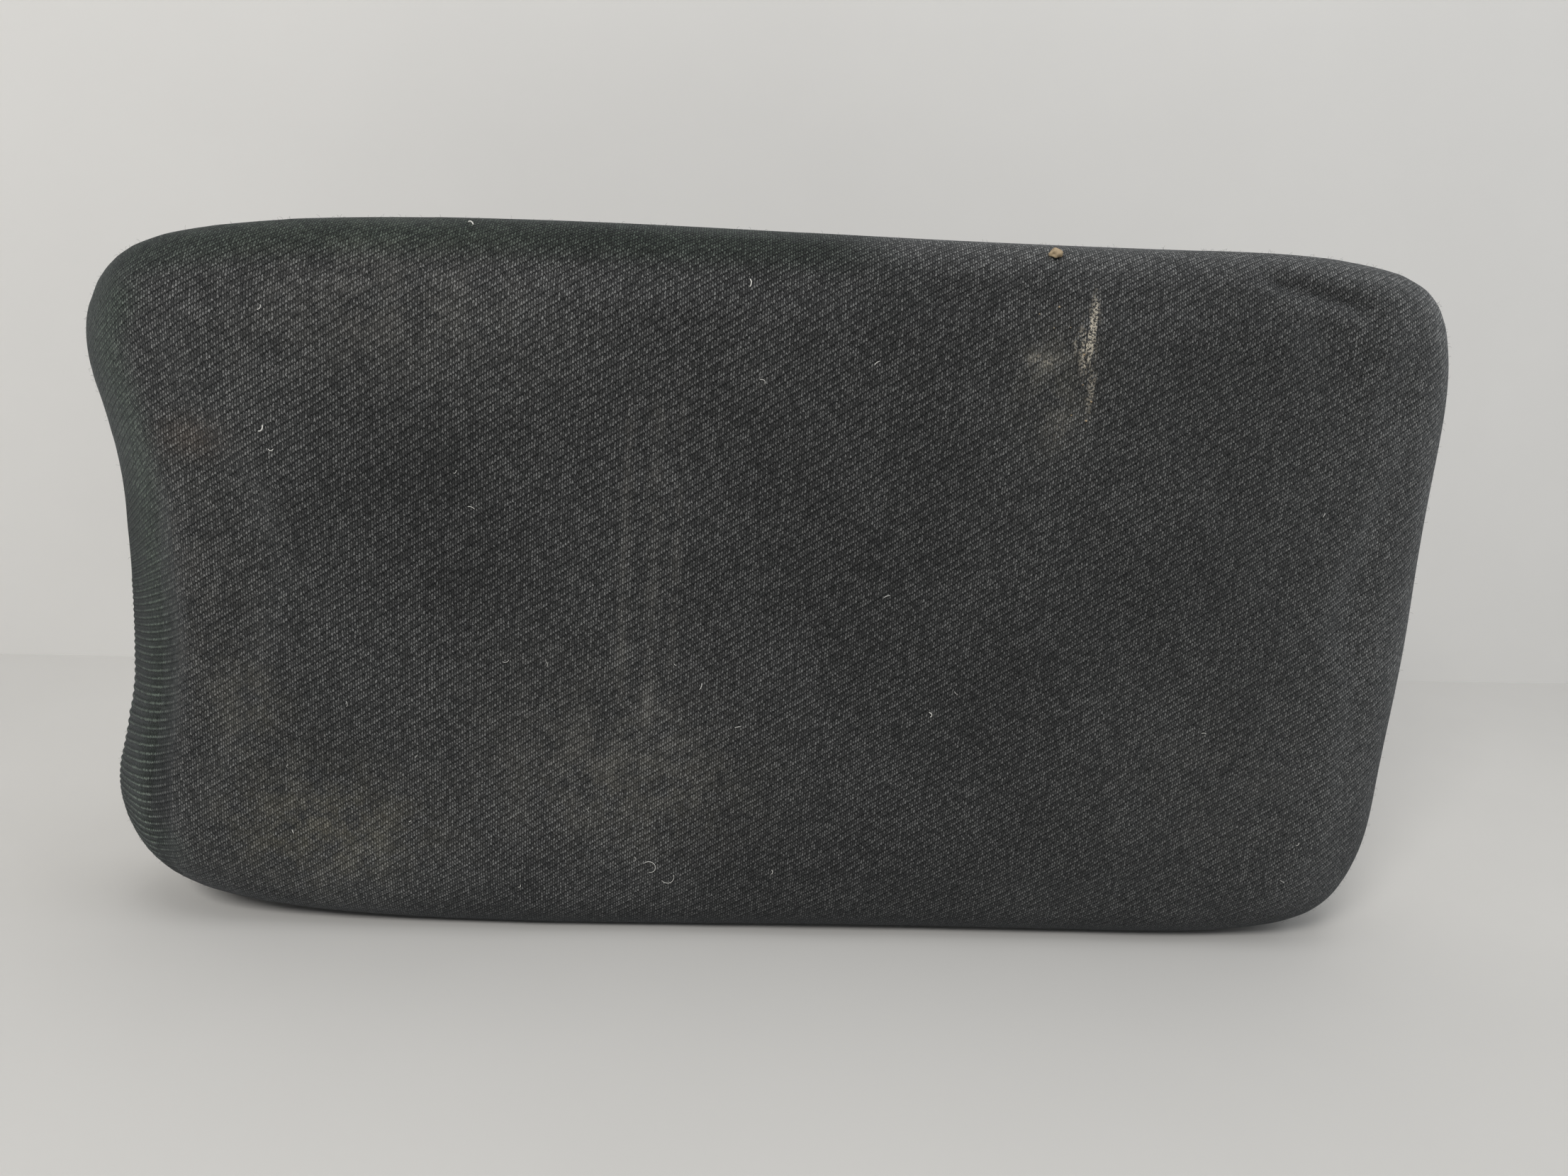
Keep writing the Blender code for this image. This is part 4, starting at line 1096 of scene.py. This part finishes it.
def make_knob(side, material):
    """Seven-lobed hand knob: a crowned, dished end below and a raised collar above."""
    node = f"{side}_clamp_knob"
    middle, low, high = centre_of(node)
    radius, height = (high.x - low.x) / 2, high.z - low.z
    collar = radius * 0.56

    def lobed(share, depth):
        return lambda angle: radius * share * (1 - depth * (1 - math.cos(KNOB_LOBES * angle)))

    rings = [circle(radius * 0.10, low.z + 0.0016, KNOB_SIDES)]
    rings.append(circle(radius * 0.48, low.z + 0.0014, KNOB_SIDES))
    rings.append(circle(lobed(0.60, 0.02), low.z + 0.0003, KNOB_SIDES))
    rings.append(circle(lobed(0.72, 0.05), low.z, KNOB_SIDES))
    for i in range(1, 6):
        angle = i / 5 * math.pi / 2
        share = 0.72 + 0.28 * math.sin(angle)
        rise = height * 0.34 * (1 - math.cos(angle))
        rings.append(circle(lobed(share, 0.05 + 0.035 * i / 5), low.z + rise, KNOB_SIDES))
    rings.append(circle(lobed(1.0, LOBE_DEPTH), low.z + height * 0.62, KNOB_SIDES))
    for i in range(1, 6):
        angle = i / 5 * math.pi / 2
        share = 1.0 - 0.34 * (1 - math.cos(angle))
        rise = height * (0.62 + 0.20 * math.sin(angle))
        rings.append(circle(lobed(share, LOBE_DEPTH * (1 - i / 6)), low.z + rise, KNOB_SIDES))
    rings.append(circle(collar * 1.04, high.z - height * 0.17, KNOB_SIDES))
    rings.append(circle(collar, high.z - height * 0.13, KNOB_SIDES))
    for r, z in fillet(collar, high.z, 0.0007, True):
        rings.append(circle(r, z, KNOB_SIDES))
    knob = link(node + "_detail", rings_mesh(node + "_detail", rings))
    knob.location = (middle.x, middle.y, 0.0)
    return finish_piece(knob, material, f"{side}_screw", "black_plastic", node)


def make_lock_nut(side, material):
    node = f"{side}_lock_nut"
    middle, low, high = centre_of(node)
    corner = max(high.x - low.x, high.y - low.y) / 2
    flats = hexagon(corner * math.sqrt(3))
    height = high.z - low.z
    chamfer = height * 0.16
    rings = []
    for z, limit in ((low.z, 0.885), (low.z + chamfer * 0.5, 0.95), (low.z + chamfer, 1.0),
                     (high.z - chamfer, 1.0), (high.z - chamfer * 0.5, 0.95), (high.z, 0.885)):
        rings.append(circle(capped(flats, corner * limit), z, 96))
    nut = link(node + "_detail", rings_mesh(node + "_detail", rings))
    nut.location = (middle.x, middle.y, 0.0)
    return finish_piece(nut, material, f"{side}_screw", "zinc_steel", node)


def make_foot(side, steel, rubber):
    node = f"{side}_clamp_foot"
    middle, low, high = centre_of(node)
    radius = (high.x - low.x) / 2
    boss = radius * 0.46
    rim = high.z - 0.0016
    profile = [(radius * 0.22, low.z)] + fillet(boss, low.z, 0.0005, False)[::-1]
    profile += [(boss, rim - 0.0012), (boss * 1.15, rim - 0.0006), (radius * 0.9, rim - 0.0004)]
    profile += [(radius - 0.0003, rim - 0.0001), (radius, rim + 0.0003)]
    profile += fillet(radius, high.z, 0.0004, True)
    foot = lathe(node + "_detail", profile)
    foot.location = (middle.x, middle.y, 0.0)
    finish_piece(foot, steel, f"{side}_foot", "zinc_steel", node)

    node = f"{side}_foot_pad"
    _, low, high = centre_of(node)
    radius = (high.x - low.x) / 2
    profile = [(radius, low.z)] + fillet(radius, high.z, 0.0007, True)
    for share in (0.78, 0.56, 0.34):
        for nudge, drop in ((0.03, 0.0), (0.015, 0.0005), (-0.015, 0.0005), (-0.03, 0.0)):
            profile.append((radius * (share + nudge), high.z - drop))
    pad = lathe(node + "_detail", profile)
    pad.location = (middle.x, middle.y, 0.0)
    finish_piece(pad, rubber, f"{side}_foot", "black_rubber", node)


def make_bush(side, material):
    node = f"{side}_threaded_bush"
    middle, low, high = centre_of(node)
    radius = (high.x - low.x) / 2
    barrel, bore, collar_top = radius * 0.667, radius * 0.50, low.z + 0.0065
    profile = [(bore, high.z), (bore, low.z + 0.0006), (bore + 0.0006, low.z)]
    profile += fillet(radius, low.z, 0.0006, False)[::-1]
    for i in range(4):
        groove = low.z + 0.0015 + i * 0.0011
        profile += [(radius, groove), (radius - 0.0002, groove + 0.0003), (radius, groove + 0.0006)]
    profile += [(radius, collar_top - 0.0003), (radius - 0.0003, collar_top)]
    profile += [(barrel, collar_top), (barrel, high.z)]
    bush = lathe(node + "_detail", profile, closed_loop=True)
    bush.location = (middle.x, middle.y, 0.0)
    return finish_piece(bush, material, "panel", "brass", node)


JAW_RIBS = 9


def make_jaw_pad(side, material):
    """Rubber jaw facing with ribs across its gripping face."""
    node = f"{side}_jaw_pad"
    _, low, high = centre_of(node)
    pitch = (high.y - low.y - 0.002) / JAW_RIBS
    chamfer = 0.0004
    outline = [(low.y, high.z - chamfer), (low.y + chamfer, high.z)]
    outline += [(high.y - chamfer, high.z), (high.y, high.z - chamfer)]
    outline += [(high.y, low.z + 0.0006), (high.y - 0.0005, low.z)]
    for i in range(JAW_RIBS):
        start = high.y - 0.001 - i * pitch
        for share, rise in ((0.30, 0.0), (0.42, 0.0006), (0.62, 0.0006), (0.74, 0.0)):
            outline.append((start - share * pitch, low.z + rise))
    outline += [(low.y + 0.0005, low.z), (low.y, low.z + 0.0006)]
    ends = [[(x, y, z) for y, z in outline] for x in (low.x, low.x + 0.0005, high.x - 0.0005, high.x)]
    middle_y, middle_z = (low.y + high.y) / 2, (low.z + high.z) / 2
    for ring in (ends[0], ends[-1]):
        for i, (x, y, z) in enumerate(ring):
            ring[i] = (x, middle_y + (y - middle_y) * 0.98, middle_z + (z - middle_z) * 0.8)
    pad = link(node + "_detail", rings_mesh(node + "_detail", ends))
    return finish_piece(pad, material, "panel", "black_rubber", node)


# ------------------------------------------------------------------ lint, crumb and loose fibres
def surface_finder(pad):
    """Where a line from the front meets the pad at an x and a height, and the normal there."""
    tree = BVHTree.FromObject(pad, bpy.context.evaluated_depsgraph_get())

    def find(x, z):
        point, normal, _, _ = tree.ray_cast(Vector((x, FACE_Y - 0.1, z)), Vector((0, 1, 0)))
        return point, normal
    return find


def add_strand(bm, points, radius, sides=5):
    """A thin round thread through points, with closed ends."""
    rows = []
    for i, point in enumerate(points):
        ahead = points[min(i + 1, len(points) - 1)] - points[max(i - 1, 0)]
        turn = ahead.to_track_quat("Z", "Y").to_matrix()
        share = 1.0 if 0 < i < len(points) - 1 else 0.5
        row = []
        for k in range(sides):
            angle = k * math.tau / sides
            reach = Vector((math.cos(angle), math.sin(angle), 0.0)) * radius * share
            row.append(bm.verts.new(point + turn @ reach))
        rows.append(row)
    skin(bm, rows)
    bm.faces.new(rows[0])
    bm.faces.new(rows[-1])


LINT = (  # x, height, length, radius, curl in radians
    (-0.1782, 0.1835, 0.0030, 0.00022, 2.2),
    (-0.0200, 0.2400, 0.0028, 0.00020, 1.4),
    (0.0541, 0.0936, 0.0026, 0.00018, 2.8),
    (-0.1115, 0.2535, 0.0022, 0.00022, 1.0),
    (-0.0449, 0.0284, 0.0100, 0.00010, 4.2),
    (-0.0400, 0.0250, 0.0075, 0.00009, 3.0),
)
SCATTERED_LINT = 26


def make_lint(find, chance):
    """Light threads and flecks that have caught on the face."""
    bm = bmesh.new()
    threads = list(LINT)
    for _ in range(SCATTERED_LINT):
        x, z = chance.uniform(-0.20, 0.21), chance.uniform(0.02, 0.245)
        length, radius = chance.uniform(0.0008, 0.0028), chance.uniform(0.00006, 0.00012)
        threads.append((x, z, length, radius, chance.uniform(0.4, 3.0)))
    for x, z, length, radius, curl in threads:
        heading = chance.uniform(0.0, math.tau)
        steps = 10
        points = []
        for i in range(steps + 1):
            point, normal = find(x, z)
            points.append(point + normal * (radius + 0.00025 + 0.0004 * math.sin(math.pi * i / steps)))
            x += length / steps * math.cos(heading)
            z += length / steps * math.sin(heading)
            heading += curl / steps
        add_strand(bm, points, radius)
    lint = link("surface_lint", mesh_from(bm, "surface_lint"))
    paint(lint, lint_material())
    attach(lint, "panel")
    return lint


CRUMB = (0.0842, 0.2575, 0.0021)  # x, height, radius
CRUMB_GRAINS = 9


def make_crumb(find, chance):
    """A dry crumb by the top edge, with a few grains fallen from it."""
    x, z, radius = CRUMB
    bm = bmesh.new()
    spots = [(x, z, radius)]
    for _ in range(CRUMB_GRAINS):
        aside, below = chance.uniform(-0.006, 0.016), chance.uniform(0.006, 0.055)
        spots.append((x + aside, z - below, chance.uniform(0.0002, 0.0005)))
    for spot_x, spot_z, size in spots:
        point, normal = find(spot_x, spot_z)
        made = bmesh.ops.create_icosphere(bm, subdivisions=3 if size > 0.001 else 1, radius=size)
        for vert in made["verts"]:
            rough = noise.noise(vert.co * (1.6 / size) + Vector((spot_x, spot_z, size)) * 900)
            vert.co = vert.co * (1 + 0.45 * rough)
            vert.co.z *= 0.8
            vert.co += point + normal * size * 0.55
    crumb = link("surface_crumbs", mesh_from(bm, "surface_crumbs", 60))
    paint(crumb, crumb_material())
    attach(crumb, "panel")
    return crumb


FUZZ_HAIRS = 1500
FUZZ_RADIUS = 0.000035


def make_fuzz(pad, chance):
    """Short stray fibres that stand off the cloth round the pad's edges."""
    bm = bmesh.new()
    tree = BVHTree.FromObject(pad, bpy.context.evaluated_depsgraph_get())
    for _ in range(FUZZ_HAIRS):
        k = chance.randrange(len(OUTLINE))
        edge, normal = OUTLINE[k], NORMALS[k]
        if edge[1] < 0.004:
            continue
        depth = FACE_Y + chance.uniform(0.004, 0.045)
        start = Vector((edge[0] + normal[0] * 0.02, depth, edge[1] + normal[1] * 0.02))
        point, out, _, _ = tree.ray_cast(start, Vector((-normal[0], 0.0, -normal[1])))
        if point is None:
            continue
        length = chance.uniform(0.0006, 0.0018)
        lean = Vector([chance.uniform(-1, 1) for _ in range(3)]) * 0.7
        bend = Vector([chance.uniform(-1, 1) for _ in range(3)]) * 0.8
        points = []
        for i in range(4):
            t = i / 3
            points.append(point + (out + lean * t + bend * t * t).normalized() * length * t - out * 0.0001)
        add_strand(bm, points, FUZZ_RADIUS, 3)
    fuzz = link("edge_fuzz", mesh_from(bm, "edge_fuzz"))
    paint(fuzz, fuzz_material())
    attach(fuzz, "panel")
    return fuzz


# ------------------------------------------------------------------ hardware
def dress_hardware():
    """Detailed pieces for the fasteners and clamp parts, and materials for the CAD nodes kept."""
    plastic, coat, steel = plastic_material(), powder_coat_material(), steel_material()
    brass, rubber, plywood = brass_material(), rubber_material(), plywood_material()
    nodes = frame["nodes"]
    paint(nodes["core_board"], plywood)
    paint(nodes["rear_cover"], plastic)
    for name, node in nodes.items():
        if name.startswith("staple_") or "_tee_nut_" in name:
            paint(node, steel)
        elif name.endswith("_clamp_bracket"):
            paint(node, coat)
        elif name.endswith("_edge_bumper"):
            paint(node, rubber)
    for name in sorted(nodes):
        if "_bracket_bolt_" in name:
            make_bolt(name, steel)
        elif "_washer_" in name:
            make_washer(name, steel)
        elif name.startswith("rear_cover_screw_"):
            make_cover_screw(name, steel)
    for side in ("left", "right"):
        make_spindle(side, steel)
        make_knob(side, plastic)
        make_lock_nut(side, steel)
        make_foot(side, steel, rubber)
        make_bush(side, brass)
        make_jaw_pad(side, rubber)


# ------------------------------------------------------------------ studio
WALL_ENDS = ((-0.445, 0.265), (0.630, 0.340))  # two points of its foot, x and y
FLOOR_REACH = 4.0
WALL_REACH = 3.0
WALL_HEIGHT = 2.4


def pale_material(name, colour, one_sided=False):
    """A matt pale surface with a faint mottle. One-sided, it doesn't show from behind."""
    g = Graph(name)
    mottle = g.between(g.noise(g.place(), 3.0, 4.0, 0.6), 0.3, 0.7)
    darker = tuple(c * 0.96 for c in colour)
    g.shade(Base_Color=g.mix(mottle, darker, colour), Roughness=0.75, Specular_IOR_Level=0.2)
    if one_sided:
        nodes = g.tree.nodes
        clear = nodes.new("ShaderNodeBsdfTransparent")
        chooser = nodes.new("ShaderNodeMixShader")
        facing = nodes.new("ShaderNodeNewGeometry").outputs["Backfacing"]
        g.feed(chooser.inputs[0], facing)
        g.feed(chooser.inputs[1], g.shader.outputs[0])
        g.feed(chooser.inputs[2], clear.outputs[0])
        g.feed(nodes["Material Output"].inputs["Surface"], chooser.outputs[0])
    return g.material


def make_plane(name, corners, material):
    bm = bmesh.new()
    bm.faces.new([bm.verts.new(corner) for corner in corners])
    mesh = bpy.data.meshes.new(name)
    bm.to_mesh(mesh)
    bm.free()
    made = link(name, mesh)
    made.data.materials.append(material)
    return made


def make_studio():
    near, far = -FLOOR_REACH, FLOOR_REACH
    corners = ((near, near, 0), (far, near, 0), (far, far, 0), (near, far, 0))
    make_plane("studio_floor", corners, pale_material("studio_floor", (0.58, 0.57, 0.55)))
    start, end = Vector(WALL_ENDS[0]), Vector(WALL_ENDS[1])
    along = (end - start).normalized() * WALL_REACH
    middle = (start + end) / 2
    left, right = middle - along, middle + along
    corners = [(x, y, 0) for x, y in (left, right)]
    corners += [(x, y, WALL_HEIGHT) for x, y in (right, left)]
    make_plane("studio_wall", corners, pale_material("studio_wall", (0.69, 0.68, 0.66), one_sided=True))


def make_light(name, place, aim, size, power, colour=(1.0, 1.0, 1.0)):
    lamp = bpy.data.lights.new(name, "AREA")
    lamp.shape = "RECTANGLE"
    lamp.size, lamp.size_y = size
    lamp.energy = power
    lamp.color = colour
    made = bpy.data.objects.new(name, lamp)
    bpy.context.scene.collection.objects.link(made)
    made.location = place
    made.rotation_euler = (Vector(aim) - Vector(place)).to_track_quat("-Z", "Y").to_euler()


def make_lights():
    middle = (0.0, 0.0, 0.12)
    make_light("key", (-0.65, -1.25, 1.25), middle, (0.50, 0.50), 19.0, (1.0, 0.985, 0.96))
    make_light("fill", (1.3, -0.5, 0.9), middle, (1.2, 1.2), 6.0, (0.94, 0.97, 1.0))
    make_light("top", (0.1, -0.05, 1.5), middle, (1.4, 1.0), 7.0)
    make_light("behind", (0.2, 1.6, 1.0), middle, (1.4, 1.0), 10.0)
    world = bpy.data.worlds.new("studio")
    world.use_nodes = True
    world.node_tree.nodes["Background"].inputs[0].default_value = (0.95, 0.97, 1.0, 1.0)
    world.node_tree.nodes["Background"].inputs[1].default_value = 0.32
    bpy.context.scene.world = world
    bpy.context.scene.view_settings.view_transform = "Standard"


CAMERA_PLACE = (-0.0400, -0.4548, 0.2330)
CAMERA_YAW = 5.42  # degrees towards +X
CAMERA_PITCH = 13.19  # degrees down
CAMERA_ROLL = 3.90
CAMERA_LENS = 27.05


def make_camera():
    data = bpy.data.cameras.new("camera")
    data.lens = CAMERA_LENS
    data.sensor_width = 36.0
    data.sensor_fit = "HORIZONTAL"
    data.clip_start = 0.01
    data.clip_end = 50.0
    camera = bpy.data.objects.new("camera", data)
    bpy.context.scene.collection.objects.link(camera)
    yaw = Matrix.Rotation(math.radians(-CAMERA_YAW), 4, "Z")
    pitch = Matrix.Rotation(math.radians(90 - CAMERA_PITCH), 4, "X")
    roll = Matrix.Rotation(math.radians(CAMERA_ROLL), 4, "Z")
    camera.matrix_world = Matrix.Translation(CAMERA_PLACE) @ yaw @ pitch @ roll
    bpy.context.scene.camera = camera


# ------------------------------------------------------------------ everything
def main():
    pad = make_pad()
    chance = random.Random(7)
    find = surface_finder(pad)
    make_lint(find, chance)
    make_crumb(find, chance)
    make_fuzz(pad, chance)
    dress_hardware()
    make_studio()
    make_lights()
    make_camera()


main()
